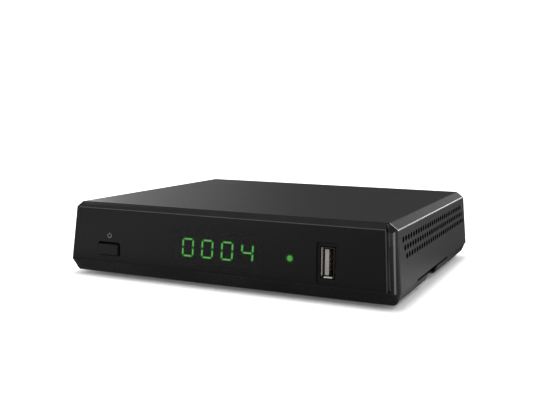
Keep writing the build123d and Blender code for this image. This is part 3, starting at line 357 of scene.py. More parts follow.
def circuit_board():
    """Solder mask over copper tracks, with tinned pads."""
    s = new_finish("circuit_board")
    track = s.node("TexBrick", {"Vector": s.place(), "Scale": 420.0, "Mortar Size": 0.03,
                                "Color1": rgb(0.0), "Color2": rgb(0.6),
                                "Mortar": rgb(1.0)}).outputs["Fac"]
    pads = s.cells(s.place(), 620.0)
    pad = s.span(pads, 1.0, 0.0, 0.10, 0.16)
    mask = s.mix(s.span(track, 0.0, 1.0, 0.0, 1.0), rgb(0.006, 0.085, 0.035),
                 rgb(0.012, 0.15, 0.06))
    colour = s.mix(pad, mask, rgb(0.62, 0.62, 0.58))
    return s.surface(Base_Color=colour, Metallic=s.times(pad, 0.9),
                     Roughness=s.span(pads, 0.28, 0.42), Normal=s.bump(track, 0.15, 0.00003),
                     Specular_IOR_Level=0.5)


def can_sleeve():
    """The shrunk sleeve round a capacitor."""
    s = new_finish("can_sleeve")
    band = s.noise(s.place((300.0, 300.0, 30.0)), 1.0, 1.0)
    colour = s.mix(s.span(band, 0.0, 1.0), rgb(0.012, 0.02, 0.04), rgb(0.02, 0.035, 0.07))
    return s.surface(Base_Color=colour, Roughness=s.span(band, 0.22, 0.34))


def rubber():
    """Matt rubber with dust in its grain."""
    s = new_finish("foot_rubber")
    grain = s.noise(s.place(), 1600.0, 5.0, 0.7)
    dust = s.noise(s.place(), 180.0, 3.0)
    colour = s.mix(s.span(dust, 0.0, 1.0), rgb(0.018), rgb(0.034))
    return s.surface(Base_Color=colour, Roughness=s.span(grain, 0.72, 0.9),
                     Normal=s.bump(grain, 0.35, 0.00006), Specular_IOR_Level=0.3)


def lit(name, middle, edge, strength):
    """A light, brighter at its middle, that hardly lights the parts round it."""
    s = new_finish(name)
    shown = s.span(s.node("LightPath").outputs["Is Camera Ray"], 0.08, 1.0, 0.0, 1.0)
    core = s.core()
    grain = s.noise(s.place(), 4000.0, 2.0)
    power = s.times(s.span(core, 0.35, 1.0, 0.0, 1.0), s.span(grain, 0.92, 1.05))
    return s.surface(Base_Color=rgb(0.01, 0.03, 0.01), Roughness=0.4, Specular_IOR_Level=0.1,
                     Emission_Color=s.mix(core, edge, middle),
                     Emission_Strength=s.times(s.times(power, strength), shown))


def halo(name, colour, strength):
    """Light that scatters round a lit segment inside the lens; it fades out to nothing."""
    s = new_finish(name)
    fade = s.math("POWER", s.core(), 2.2)
    s.show(s.node("Emission", {"Color": colour, "Strength": s.times(fade, strength)}))
    return s.see_through(rgb(1.0))


# The finishes that the record's material slots name.
PAINT = {
    "cover_paint": cover_paint(),
    "chassis_paint": chassis_paint(),
    "bezel_plastic": bezel_plastic(),
    "lens_plate": lens_plate(),
    "button_plastic": button_plastic(),
    "black_plastic": moulded("black_plastic", rgb(0.012), rgb(0.02)),
    "circuit_board": circuit_board(),
    "screw_steel": metal("screw_steel", rgb(0.50, 0.50, 0.49), rgb(0.62, 0.62, 0.60), (0.22, 0.38)),
    "display_body": moulded("display_body", rgb(0.004), rgb(0.006), (0.55, 0.7), 2600.0, 0.1),
    "eye_lens": moulded("eye_lens", rgb(0.012, 0.004, 0.006), rgb(0.02, 0.006, 0.01), (0.08, 0.14)),
    "socket_steel": metal("socket_steel", rgb(0.44, 0.42, 0.38), rgb(0.56, 0.54, 0.50),
                          (0.20, 0.36), (1, 6, 1)),
    "tongue_plastic": moulded("tongue_plastic", rgb(0.22, 0.21, 0.205), rgb(0.28, 0.27, 0.262)),
    "contact_gold": metal("contact_gold", rgb(0.42, 0.31, 0.14), rgb(0.58, 0.44, 0.22),
                          (0.26, 0.42), spots=0.7),
    "chip_plastic": moulded("chip_plastic", rgb(0.014), rgb(0.022), (0.5, 0.66), 1500.0),
    "sink_aluminium": metal("sink_aluminium", rgb(0.68), rgb(0.78), (0.28, 0.44), (1, 0.05, 1),
                            3000.0),
    "can_sleeve": can_sleeve(),
    "coil_ferrite": moulded("coil_ferrite", rgb(0.04), rgb(0.07), (0.6, 0.8), 900.0),
    "tin_plate": metal("tin_plate", rgb(0.62, 0.62, 0.60), rgb(0.76, 0.76, 0.74), (0.22, 0.42),
                       (1, 0.3, 1), 900.0),
    "socket_brass": metal("socket_brass", rgb(0.72, 0.55, 0.24), rgb(0.84, 0.66, 0.32),
                          (0.16, 0.3)),
    "foot_rubber": rubber(),
}

# The finishes of single faces and edges.
SMOKED = lens_plate("smoked_window", rgb(0.20, 0.21, 0.20))
SMOKED_BACK = window_back()
SHADED = moulded("shaded_plastic", rgb(0.0065), rgb(0.0095), (0.5, 0.65), 2000.0, 0.08)
# Near-black with little gloss: painted shade in the vents, on the bezel's far side and in the
# button's gap.
DEEP_SHADE = moulded("painted_deep_shade", rgb(0.002), rgb(0.004), (0.7, 0.85), 2000.0, 0.05)
# Painted highlight down the bezel's near corner.
CORNER_GLINT = painted_glint_plastic()
# Painted highlight: a lighter, glossier coat on the shoulder's fold.
PAINTED_FOLD_HIGHLIGHT = moulded("fold_painted_highlight", rgb(0.030, 0.030, 0.032), rgb(0.045, 0.045, 0.048), (0.14, 0.22),
                    1800.0, 1.0)
# Painted highlight along the face's top edge.
FACE_EDGE_HIGHLIGHT = moulded("face_edge_painted_highlight", rgb(0.037, 0.037, 0.038), rgb(0.047, 0.047, 0.049), (0.2, 0.3))
# An even, lighter matt grey in place of the top bevel's reflection: painted light.
TOP_BEVEL_REFLECTION = moulded("top_bevel_painted_reflection", rgb(0.0145, 0.0145, 0.015), rgb(0.0170, 0.0170, 0.0176),
                    (0.5, 0.62), 3000.0, 0.08)
# Painted highlight on the land beside the end groove.
LAND_HIGHLIGHT = moulded("land_painted_highlight", rgb(0.022, 0.022, 0.023), rgb(0.030, 0.030, 0.031), (0.25, 0.35))
# Pale grey painted as the highlight of the cover's bare cut front edge.
FRONT_EDGE_HIGHLIGHT = moulded("front_edge_painted_highlight", rgb(0.46, 0.46, 0.45), rgb(0.60, 0.60, 0.59), (0.25, 0.40),
                    1500.0, 0.8)
RIM_SHADE = metal("rim_shade", rgb(0.045, 0.042, 0.034), rgb(0.07, 0.066, 0.056), (0.3, 0.45))
# Painted reflections in the USB socket's mouth: lighter on its left wall, brighter on its sill.
USB_WALL_REFLECTION = moulded("usb_wall_painted_reflection", rgb(0.20, 0.18, 0.16), rgb(0.26, 0.235, 0.21), (0.3, 0.45), 900.0)
USB_SILL_REFLECTION = moulded("usb_sill_painted_reflection", rgb(0.42, 0.41, 0.38), rgb(0.62, 0.61, 0.57), (0.3, 0.45), 900.0)
TONGUE_SHADE = moulded("tongue_shade", rgb(0.030, 0.024, 0.016), rgb(0.055, 0.045, 0.03))
CONTACT_SHADE = metal("contact_shade", rgb(0.20, 0.17, 0.10), rgb(0.28, 0.24, 0.15), (0.3, 0.45))
PALE_PRINT = moulded("pale_print", rgb(0.20), rgb(0.25), (0.4, 0.5))
DIGIT_OFF = moulded("digit_off", rgb(0.004, 0.005, 0.004), rgb(0.006, 0.007, 0.006), (0.5, 0.6),
                    2600.0, 0.1)
DIGIT_LIGHT = lit("digit_light", rgb(0.23, 0.78, 0.20), rgb(0.02, 0.42, 0.02), 4.0)
DIGIT_HALO = halo("digit_halo", rgb(0.03, 0.8, 0.04), 1.1)
LAMP_LIGHT = lit("lamp_light", rgb(0.08, 0.42, 0.07), rgb(0.02, 0.22, 0.02), 0.85)
LAMP_HALO = halo("lamp_halo", rgb(0.05, 0.8, 0.06), 0.06)


# ---------------------------------------------------------------- mesh helpers
def mesh_from(name, bm, same_way=False):
    """Turns a bmesh into a mesh, with its faces turned the same way first where that is asked."""
    if same_way:
        bmesh.ops.recalc_face_normals(bm, faces=bm.faces)
    mesh = bpy.data.meshes.new(name)
    bm.to_mesh(mesh)
    bm.free()
    return mesh


def in_scene(name, data):
    """A new object that holds a mesh, a lamp or a camera."""
    obj = bpy.data.objects.new(name, data)
    SCENE.collection.objects.link(obj)
    return obj


def drop(obj):
    """Takes a cutter or another helper form out again."""
    mesh = obj.data
    bpy.data.objects.remove(obj)
    bpy.data.meshes.remove(mesh)


def finish(obj, material):
    """Gives the whole of an object one finish."""
    obj.data.materials.clear()
    obj.data.materials.append(material)


def piece(name, mesh, body, material):
    """A visible piece that rides on a body, with its finish."""
    obj = in_scene(name, mesh)
    finish(obj, material)
    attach(obj, body)
    return obj


def bake(obj):
    """Applies an object's modifiers to its mesh."""
    graph = bpy.context.evaluated_depsgraph_get()
    mesh = bpy.data.meshes.new_from_object(obj.evaluated_get(graph), depsgraph=graph,
                                           preserve_all_data_layers=True)
    obj.modifiers.clear()
    obj.data = mesh


def reshape(mesh, work):
    """Runs a bmesh edit on a mesh."""
    bm = bmesh.new()
    bm.from_mesh(mesh)
    work(bm)
    bm.to_mesh(mesh)
    bm.free()


def join_flat(bm):
    """Joins the triangles that lie in one plane."""
    bmesh.ops.dissolve_limit(bm, angle_limit=math.radians(0.8), verts=bm.verts, edges=bm.edges,
                             delimit={"NORMAL"})


def weld(bm):
    """Joins the points that share a place, and then the triangles that lie in one plane."""
    bmesh.ops.remove_doubles(bm, verts=bm.verts, dist=2e-6)
    join_flat(bm)


def clean_copy(node):
    """A node's mesh with its triangles joined to flat faces again."""
    mesh = NODES[node].data.copy()
    if "custom_normal" in mesh.attributes:
        mesh.attributes.remove(mesh.attributes["custom_normal"])
    reshape(mesh, weld)
    return mesh


def boolean(obj, other, operation="DIFFERENCE"):
    """Cuts another form out of an object, or joins it on."""
    cut = obj.modifiers.new("cut", "BOOLEAN")
    cut.operation = operation
    cut.solver = "EXACT"
    cut.object = other


def round_edges(obj, width, punch=None):
    """Rounds the sharp edges, keeps the flats flat, and then punches any crisp holes."""
    for face in obj.data.polygons:
        face.use_smooth = True
    bevel = obj.modifiers.new("edge", "BEVEL")
    bevel.width = width * MM
    bevel.segments = 2
    bevel.limit_method = "ANGLE"
    bevel.angle_limit = math.radians(28)
    bevel.use_clamp_overlap = True
    if punch is not None:
        boolean(obj, punch)
    level = obj.modifiers.new("level", "WEIGHTED_NORMAL")
    level.mode = "FACE_AREA"
    level.weight = 90
    level.keep_sharp = True
    bake(obj)


def refine(node, width, body="housing", trimmed=None, joined=None, prepare=None, punch=None):
    """A finer stand-in for a CAD node: the same form with its edges rounded.

    One form may be trimmed off first and another joined on. Then prepare edits the mesh, and
    punch is a form that cuts crisp holes after the rounding.
    """
    slot = FINISH[node]
    obj = piece(node + "_fine", clean_copy(node), body, PAINT[slot])
    for other, operation in ((trimmed, "DIFFERENCE"), (joined, "UNION")):
        if other is not None:
            boolean(obj, other, operation)
            bake(obj)
            reshape(obj.data, join_flat)
    if prepare is not None:
        reshape(obj.data, prepare)
    finish(obj, PAINT[slot])
    for face in obj.data.polygons:
        face.material_index = 0
    round_edges(obj, width, punch)
    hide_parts(node)
    return obj


def slice_mesh(bm, cuts):
    """Adds flat lines where planes (place, normal) cross a mesh, so that a strip can be painted."""
    for place, normal in cuts:
        geom = bm.verts[:] + bm.edges[:] + bm.faces[:]
        bmesh.ops.bisect_plane(bm, geom=geom, plane_co=place, plane_no=normal, dist=1e-7)


# Planes for slice_mesh, square to an axis of the set.
def at_x(*places):
    return [(at(x, 0, 0), X_AXIS) for x in places]


def at_rise(*places):
    return [(at(0, 0, rise), Z_AXIS) for rise in places]


def at_depth(*places):
    return [(at(0, depth, 0), Y_AXIS) for depth in places]


def paint_faces(obj, material, test):
    """Gives a finish to the faces whose middle (in mm) and normal pass a test."""
    obj.data.materials.append(material)
    for face in obj.data.polygons:
        if test(face.center / MM, face.normal):
            face.material_index = len(obj.data.materials) - 1


# ---------------------------------------------------------------- finish of the CAD nodes that stay
for name, obj in NODES.items():
    if FINISH[name] in PAINT:
        finish(obj, PAINT[FINISH[name]])


# ---------------------------------------------------------------- cover and tray
def vent_cutter():
    """The punches of all vents: ovals that lie along the set and stand square to its side walls."""
    bm = bmesh.new()
    size = Matrix.Diagonal((VENT_HALF[0] * MM, VENT_HALF[1] * MM, MM, 1.0))
    along = Vector(Y_AXIS)
    for side in (-1, 1):
        down = Vector((side * WALL_LEAN, 0, -(SHOULDER_RISE - FOLD_RISE))).normalized()
        out = down.cross(along) if side < 0 else along.cross(down)
        turn = Matrix((along, out.cross(along), out)).transposed().to_4x4()
        for row in range(VENT_ROWS):
            for column in range(VENT_COLUMNS):
                depth = VENT_START + row * VENT_PITCH / 2 + column * VENT_PITCH
                middle = at(side * SHOULDER_HALF, depth, SHOULDER_RISE)
                middle = middle + down * (VENT_DROP + row * VENT_ROW_PITCH) * MM
                stand = Matrix.Translation(middle) @ turn @ size
                bmesh.ops.create_cone(bm, cap_ends=True, segments=VENT_SIDES, radius1=1.0,
                                      radius2=1.0, depth=PUNCH_LENGTH, matrix=stand)
    return in_scene("vent_cutter", mesh_from("vent_cutter", bm))


def in_vent(c, n):
    """The punched walls of the vents, painted near-black as the shade inside the holes."""
    return abs(c.x) > WALL_HALF and abs(n.x) < VENT_ASIDE and VENT_LOW < c.z < VENT_HIGH


def on_shoulder_fold(c, n):
    """The bend between shoulder and side wall, painted lighter and glossier as its highlight."""
    return abs(c.x) > SHOULDER_HALF - PAINTED_FOLD_BAND and FOLD_LOW < n.z < FOLD_HIGH \
        and c.z > VENT_HIGH


def on_front_cut(c, n):
    """The chamfer's cut edge at the front, where the paint has gone, painted pale as the bare
    steel's highlight.
    """
    return c.y < FACE_Y + COVER_FRONT + EDGE_STRIP and c.z > VENT_HIGH and n.z > LEANS \
        and TOP_HALF + EDGE_START < abs(c.x) < SHOULDER_HALF


def cover():
    """The folded cover, with its vents punched and darkened inside as painted shade, and painted
    highlights on its fold and front edge.
    """
    cutter = vent_cutter()
    obj = refine("top_cover", 0.10, punch=cutter,
                 prepare=lambda bm: slice_mesh(bm, at_depth(COVER_FRONT + EDGE_STRIP)))
    # The vents' walls are painted near-black as the shade inside the holes.
    paint_faces(obj, DEEP_SHADE, in_vent)
    # The shoulder's fold is painted lighter and glossier as its highlight.
    paint_faces(obj, PAINTED_FOLD_HIGHLIGHT, on_shoulder_fold)
    # A strip along the front edge is painted pale as the highlight of the bare cut steel.
    paint_faces(obj, FRONT_EDGE_HIGHLIGHT, on_front_cut)
    drop(cutter)


cover()
refine("bottom_chassis", 0.12)


# ---------------------------------------------------------------- front frame
def end_trim():
    """What comes off the bezel's far end before the square end goes on."""
    bm = bmesh.new()
    lo = at(TRIM_END, -TRIM_SPARE, -TRIM_SPARE)
    hi = at(LEFT_END, BEVEL_D, BODY_H + TRIM_SPARE)
    bmesh.ops.create_cube(bm, size=1.0, matrix=Matrix.Translation((lo + hi) / 2)
                          @ Matrix.Diagonal((*(hi - lo), 1.0)))
    return in_scene("end_trim", mesh_from("end_trim", bm))


def left_end():
    """The far end of the bezel, which is cut square and tapers out to the cover's section."""
    inner = LEFT_END + END_OVERLAP
    front = [(inner, LOW_BEVEL_H), (-81.7, LOW_BEVEL_H + 0.1), (-81.72, FOLD_RISE + 0.5),
             (-78.0, 31.1), (-77.7, FACE_TOP), (inner, FACE_TOP)]
    back = [(inner, 0.0), (-80.2, 0.0), (-FOLD_HALF, FOLD_RISE), (-SHOULDER_HALF, SHOULDER_RISE),
            (-TOP_HALF, BODY_H), (inner, BODY_H)]
    bm = bmesh.new()
    for outline, depth in ((front, 0.0), (back, BEVEL_D)):
        for x, rise in outline:
            bm.verts.new(at(x, depth, rise))
    bmesh.ops.convex_hull(bm, input=bm.verts)
    return in_scene("left_end", mesh_from("left_end", bm))


# How far the glint and the groove run out to the side for each mm that they run down
GLINT_LEAN = (GLINT_LOW[0] - GLINT_TOP[0]) / (GLINT_TOP[1] - GLINT_LOW[1])
GROOVE_LEAN = (GROOVE_LOW - GROOVE_TOP) / (FACE_TOP - LOW_BEVEL_H)


def mark_bezel(bm):
    """Lines for the finishes of the bezel's parts."""
    slice_mesh(bm, at_x(USB_X - WELL_HALF_W, USB_X + WELL_HALF_W)
               + at_rise(USB_RISE - WELL_HALF_H, USB_RISE + WELL_HALF_H)
               + at_rise(LOW_BEVEL_H, LOW_BEVEL_H + FACIA_RIM, FACE_TOP - FACIA_RIM)
               + at_x(PLATE_END)
               + [(at(GLINT_TOP[0] + side * GLINT_HALF, 0, GLINT_TOP[1]), (1, 0, GLINT_LEAN))
                  for side in (-1, 1)]
               + [(at(GROOVE_TOP - LAND_W, 0, FACE_TOP), (1, 0, GROOVE_LEAN))])


def rise_of(c):
    """A point's rise above the bezel's underside, in mm."""
    return c.z - GROUND_GAP


def in_well(c, n):
    """All that lies deep in the well round the USB socket."""
    return abs(c.x - USB_X) < WELL_HALF_W and abs(rise_of(c) - USB_RISE) < WELL_HALF_H \
        and c.y > FACE_Y + WELL_SKIN


def on_end_side(c, n):
    """The far end's own side, which turns away from the light; it is painted near-black as shade.
    """
    return c.x < LEFT_END - END_CLEAR and n.x < -END_ASIDE and n.y < 0


def on_glint(c, n):
    """The painted highlight down the near corner."""
    middle = GLINT_TOP[0] + (GLINT_TOP[1] - rise_of(c)) * GLINT_LEAN
    return abs(c.x - middle) < GLINT_HALF and n.y < -LEANS and abs(n.z) < GLINT_UP \
        and rise_of(c) > LOW_BEVEL_H


def on_land(c, n):
    """The strip of the land along the groove, painted lighter as its highlight."""
    edge = GROOVE_TOP - LAND_W + (FACE_TOP - rise_of(c)) * GROOVE_LEAN
    return edge < c.x < LAND_OUT and n.y < -FLAT and rise_of(c) > LOW_BEVEL_H


def on_top_bevel(c, n):
    """The bevel over the plate, between the corners, painted an even matt grey in place of its
    reflection.
    """
    return rise_of(c) > FACE_TOP - FACIA_RIM and n.z > HALFWAY and abs(c.x) < CORNER_X


def on_face_line(c, n):
    """The rounded edge between the rim over the plate and the top bevel, painted lighter as its
    highlight.
    """
    return rise_of(c) > FACE_TOP - FACIA_RIM and n.z < FACE_LINE_UP and n.y < -HALFWAY \
        and LEFT_END < c.x < LAND_IN


def front_frame():
    """The bezel with its square far end, its gloss, and its painted shade and highlights."""
    trim, end = end_trim(), left_end()
    obj = refine("front_bezel", 0.28, trimmed=trim, joined=end, prepare=mark_bezel)
    gloss = PAINT["lens_plate"]
    paint_faces(obj, SHADED, in_well)
    # The far end's side is painted near-black as shade.
    paint_faces(obj, DEEP_SHADE, on_end_side)
    paint_faces(obj, gloss, lambda c, n: c.x < PLATE_END and n.y < -FLAT)
    # The near corner gets a painted highlight.
    paint_faces(obj, CORNER_GLINT, on_glint)
    paint_faces(obj, gloss, lambda c, n: LAND_IN < c.x < LAND_OUT and n.y < -FLAT)
    # The land's strip along the groove is painted lighter as a highlight.
    paint_faces(obj, LAND_HIGHLIGHT, on_land)
    paint_faces(obj, SHADED, lambda c, n: c.x > CORNER_X and n.z > LEANS)
    # The top bevel is painted an even matt grey in place of its reflection.
    paint_faces(obj, TOP_BEVEL_REFLECTION, on_top_bevel)
    # The face's top edge is painted lighter as its highlight.
    paint_faces(obj, FACE_EDGE_HIGHLIGHT, on_face_line)
    drop(trim)
    drop(end)


front_frame()


# ---------------------------------------------------------------- button
def sink_button(bm):
    """The cap's top and right edges fall away, so that the gap beside them reads as a dark line."""
    corner = at(BUTTON_X + BUTTON_W / 2 - BUTTON_FALL, BUTTON_SKIRT,
                BUTTON_RISE + BUTTON_H / 2 - BUTTON_FALL)
    for v in bm.verts:
        if v.co.y < corner.y:
            if v.co.z > corner.z:
                v.co.z -= BUTTON_FALL * MM
            if v.co.x > corner.x:
                v.co.x -= BUTTON_FALL * MM


button = refine("power_button", 0.12, "button", prepare=sink_button)
# The skirt in the gap round the cap is painted near-black as shade.
paint_faces(button, DEEP_SHADE, lambda c, n: abs(n.y) < SKIRT_AHEAD)


# ---------------------------------------------------------------- facia with a smoked window
def facia():
    """The lens plate, which is clear over the display."""
    half_w, half_h = DISPLAY_W / 2 + WINDOW_SPARE, DISPLAY_H / 2 + WINDOW_SPARE
    left, right = DISPLAY_X - half_w, DISPLAY_X + half_w
    low, high = DISPLAY_RISE - half_h, DISPLAY_RISE + half_h
    obj = refine("facia_panel", 0.10, prepare=lambda bm: slice_mesh(
        bm, at_x(left, right) + at_rise(low, high)))

    def in_window(c, n):
        return left < c.x < right and low < rise_of(c) < high and abs(n.y) > FLAT

    paint_faces(obj, SMOKED, lambda c, n: in_window(c, n) and n.y < 0)
    paint_faces(obj, SMOKED_BACK, lambda c, n: in_window(c, n) and n.y > 0)


facia()


# ---------------------------------------------------------------- display
def bar_shape(length, upright):
    """The six corners of a segment round its own middle."""
    tip, b = length / 2 - SEGMENT_GAP, SEGMENT_W / 2
    flat = tip - SEGMENT_TIP
    corners = [(-tip, 0), (-flat, b), (flat, b), (tip, 0), (flat, -b), (-flat, -b)]
    return [(-h, x) for x, h in corners] if upright else corners


def bars():
    """The seven bars by their usual letters: X and rise of the middle, length, upright or not."""
    half_h, half_w = DIGIT_H / 2, DIGIT_W / 2
    return {"a": (0, half_h, DIGIT_W, False), "g": (0, 0, DIGIT_W, False),
            "d": (0, -half_h, DIGIT_W, False),
            "f": (-half_w, half_h / 2, half_h, True), "b": (half_w, half_h / 2, half_h, True),
            "e": (-half_w, -half_h / 2, half_h, True), "c": (half_w, -half_h / 2, half_h, True)}


READING = "0004"
SHOWN = {"0": "abcdef", "4": "bcfg"}


def join_rings(bm, a, b):
    """Faces between two closed rings of as many corners."""
    for i in range(len(a)):
        j = (i + 1) % len(a)
        bm.faces.new((a[i], a[j], b[j], b[i]))


def segment(bm, place, corners, upright):
    """One bar of a digit, crowned towards the lens. Returns the corners of its crown."""
    def ring(along, across, depth):
        """The corners at a depth, drawn in by two shares."""
        x_share, h_share = (across, along) if upright else (along, across)
        return [bm.verts.new(place(x * x_share, h * h_share, depth)) for x, h in corners]

    back = ring(1, 1, DISPLAY_FRONT)
    edge = ring(1, 1, DISPLAY_FRONT - SEGMENT_EDGE)
    crown = ring(CROWN_ALONG, CROWN_ACROSS, DISPLAY_FRONT - SEGMENT_CROWN)
    join_rings(bm, back, edge)
    join_rings(bm, edge, crown)
    bm.faces.new(crown)
    bm.faces.new(back[::-1])
    return crown


def segment_glow(bm, core, place, corners):
    """A flat ring round a lit segment, which its halo fades across."""
    shares = [1 + DIGIT_GLOW / Vector(corner).length for corner in corners]
    rim = [bm.verts.new(place(x, h, GLOW_DEPTH)) for x, h in corners]
    out = [bm.verts.new(place(x * share, h * share, GLOW_DEPTH))
           for (x, h), share in zip(corners, shares)]
    for v in rim:
        v[core] = 1.0
    join_rings(bm, rim, out)


def digits():
    """The four digits: lit segments, dark ones and the glow round the lit ones."""
    lit_bm, dark_bm, glow_bm = bmesh.new(), bmesh.new(), bmesh.new()
    core_lit = lit_bm.verts.layers.float.new("core")
    core_glow = glow_bm.verts.layers.float.new("core")
    for number, digit in enumerate(READING):
        middle = DISPLAY_X + (number - (len(READING) - 1) / 2) * DIGIT_PITCH
        for letter, (bar_x, bar_h, length, upright) in bars().items():
            def place(x, h, depth):
                """A point of this bar, leaned like its digit."""
                x, h = bar_x + x, bar_h + h
                return at(middle + x + DIGIT_LEAN / DIGIT_H * h, depth, DISPLAY_RISE + h)

            corners = bar_shape(length, upright)
            if letter in SHOWN[digit]:
                for v in segment(lit_bm, place, corners, upright):
                    v[core_lit] = 1.0
                segment_glow(glow_bm, core_glow, place, corners)
            else:
                segment(dark_bm, place, corners, upright)
    for name, bm, material in (("digits_lit", lit_bm, DIGIT_LIGHT),
                               ("digits_dark", dark_bm, DIGIT_OFF),
                               ("digits_halo", glow_bm, DIGIT_HALO)):
        piece(name, mesh_from(name, bm, True), "housing", material)
    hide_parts("display_segments")


digits()


# ---------------------------------------------------------------- lamp and printed power symbol
def ring_mesh(name, rings, segments=32, closed=True):
    """A turned form round the lamp's axis: rings are (radius, depth, core) from outside in."""
    bm = bmesh.new()
    core = bm.verts.layers.float.new("core")
    loops = []
    for radius, depth, value in rings:
        loop = []
        for i in range(segments):
            a = 2 * math.pi * i / segments
            v = bm.verts.new(at(LED_X + radius * math.cos(a), depth,
                                LED_RISE + radius * math.sin(a)))
            v[core] = value
            loop.append(v)
        loops.append(loop)
    for a, b in zip(loops, loops[1:]):
        join_rings(bm, a, b)
    if closed:
        bm.faces.new(loops[-1])
    for face in bm.faces:
        face.smooth = True
    return mesh_from(name, bm, True)


def status_lamp():
    """A domed lamp, and a thin ring of its light on the plate round it."""
    dome = [(LED_R, 7.0, 0.0), (LED_R, 0.35, 0.0), (LED_R * 0.92, 0.14, 0.10),
            (LED_R * 0.72, 0.05, 0.75), (LED_R * 0.52, 0.0, 1.0), (LED_R * 0.28, 0.0, 0.9),
            (0.1, 0.0, 0.55)]
    glow = [(LED_R + LED_GLOW, -PRINT_LIFT, 0.0), (LED_R - LED_RIM, -PRINT_LIFT, 1.0)]
    lamp = piece("status_lamp", ring_mesh("status_lamp", dome), "housing", LAMP_LIGHT)
    piece("lamp_glow", ring_mesh("lamp_glow", glow, closed=False), "housing",
          LAMP_HALO)
    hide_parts("status_led")


def power_symbol():
    """The common standby sign: a broken ring with a short bar in its gap, printed on the lens."""
    bm = bmesh.new()
    start, end, steps = math.radians(90 + SYMBOL_GAP), math.radians(450 - SYMBOL_GAP), 30
    half = SYMBOL_LINE / 2
    inner, outer = [], []
    for i in range(steps + 1):
        a = start + (end - start) * i / steps
        for r, row in ((SYMBOL_R - half, inner), (SYMBOL_R + half, outer)):
            row.append(bm.verts.new(at(SYMBOL_X + r * math.cos(a), -PRINT_LIFT,
                                       SYMBOL_RISE + r * math.sin(a))))
    for i in range(steps):
        bm.faces.new((inner[i], inner[i + 1], outer[i + 1], outer[i]))
    low, high = SYMBOL_BAR
    bm.faces.new([bm.verts.new(at(SYMBOL_X + x, -PRINT_LIFT, SYMBOL_RISE + h))
                  for x, h in ((-half, low), (half, low), (half, high), (-half, high))])
    piece("power_symbol", mesh_from("power_symbol", bm, True), "housing", PALE_PRINT)


status_lamp()
power_symbol()


# ---------------------------------------------------------------- sockets and small parts
def cut_thread(bm):
    """Turns the aerial input's barrel into a thread by drawing in every other ring."""
    low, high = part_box("lnb_connector")
    axis_x, axis_z = (low.x + high.x) / 2, (low.z + high.z) / 2
    radius = (high.x - low.x) / 2
    start, end = (at(0, depth, 0).y for depth in THREAD)
    turns = round((end - start) / (THREAD_PITCH * MM)) * 2
    levels = [start + (end - start) * i / turns for i in range(turns + 1)]
    slice_mesh(bm, [(Vector((0, y, 0)), Y_AXIS) for y in levels])
    for v in bm.verts:
        out = Vector((v.co.x - axis_x, 0, v.co.z - axis_z))
        if out.length > radius * THREAD_CORE:
            near = min(range(turns + 1), key=lambda i: abs(levels[i] - v.co.y))
            if near % 2 and abs(levels[near] - v.co.y) < ON_RING * MM:
                v.co -= out.normalized() * THREAD_DEPTH * MM


def usb_shell():
    """The plated mouth of the upright socket: dark as painted shade, with painted reflections on
    its left wall and its sill.
    """
    left, right = USB_X - USB_W / 2 + USB_SHEET, USB_X + USB_W / 2
    sill = USB_RISE - USB_H / 2 + USB_SHEET
    obj = refine("usb_shell", 0.05, prepare=lambda bm: slice_mesh(
        bm, at_depth(USB_LIP) + at_rise(sill + SILL_H)
        + at_x(left, left + SILL_START, right - SILL_END) + at_rise(sill)))

    def on_lip(c, n):
        return c.y < FACE_Y + USB_LIP

    def on_left_wall(c, n):
        return on_lip(c, n) and c.x < left + SLACK and rise_of(c) > sill + SILL_H - SLACK

    def on_sill(c, n):
        return on_lip(c, n) and rise_of(c) < sill + SLACK \
            and left + SILL_START - SLACK < c.x < right - SILL_END + SLACK

    # The mouth is painted dark as shade, and lighter on its left wall and sill as painted
    # reflections.
    paint_faces(obj, RIM_SHADE, on_lip)
    paint_faces(obj, USB_WALL_REFLECTION, on_left_wall)
    paint_faces(obj, USB_SILL_REFLECTION, on_sill)


def usb_tongue():
    """The tongue, pale on its broad face and dark on its edges and its contact side."""
    low, high = (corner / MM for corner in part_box("usb_tongue"))
    near, far = low.x + TONGUE_EDGE / 2, high.x - TONGUE_EDGE
    foot = rise_of(low) + 2 * TONGUE_EDGE
    obj = refine("usb_tongue", 0.08, prepare=lambda bm: slice_mesh(
        bm, at_x(near, far) + at_rise(foot)))
    paint_faces(obj, TONGUE_SHADE, lambda c, n: n.x > LEANS or c.x > far or c.x < near
                or rise_of(c) < foot)


refine("lnb_connector", 0.04, prepare=cut_thread)
usb_shell()
usb_tongue()
paint_faces(refine("usb_contacts", 0.05), CONTACT_SHADE, lambda c, n: True)
for node, edge in (("rubber_feet", 0.3), ("cover_screws", 0.12), ("lnb_nut", 0.2),
                   ("scart_socket", 0.15), ("hdmi_shell", 0.08), ("hdmi_tongue", 0.06),
                   ("audio_socket", 0.12), ("audio_sleeve", 0.1), ("power_inlet", 0.15),
                   ("power_inlet_pin", 0.15)):
    refine(node, edge)


# ---------------------------------------------------------------- studio, in metres
SET_MIDDLE = (0.0, -0.0038, 0.0)
SHADE_HALF = (0.0812, 0.0663, 0.0)      # half size of the floor under the set, which is dimmed as a painted shadow
SHADE_FADE = 0.0095                     # the painted shadow fades to white over this distance outside it


def floor_shade(s):
    """How far a place on the floor lies outside the set's footprint."""
    away = s.node("TexCoord").outputs["Object"]
    for operation, other in (("SUBTRACT", SET_MIDDLE), ("ABSOLUTE", None), ("SUBTRACT", SHADE_HALF),
                             ("MAXIMUM", (0.0, 0.0, 0.0)), ("LENGTH", None)):
        sockets = {0: away} if other is None else {0: away, 1: other}
        node = s.node("VectorMath", sockets, operation=operation)
        away = node.outputs["Value" if operation == "LENGTH" else "Vector"]
    return away


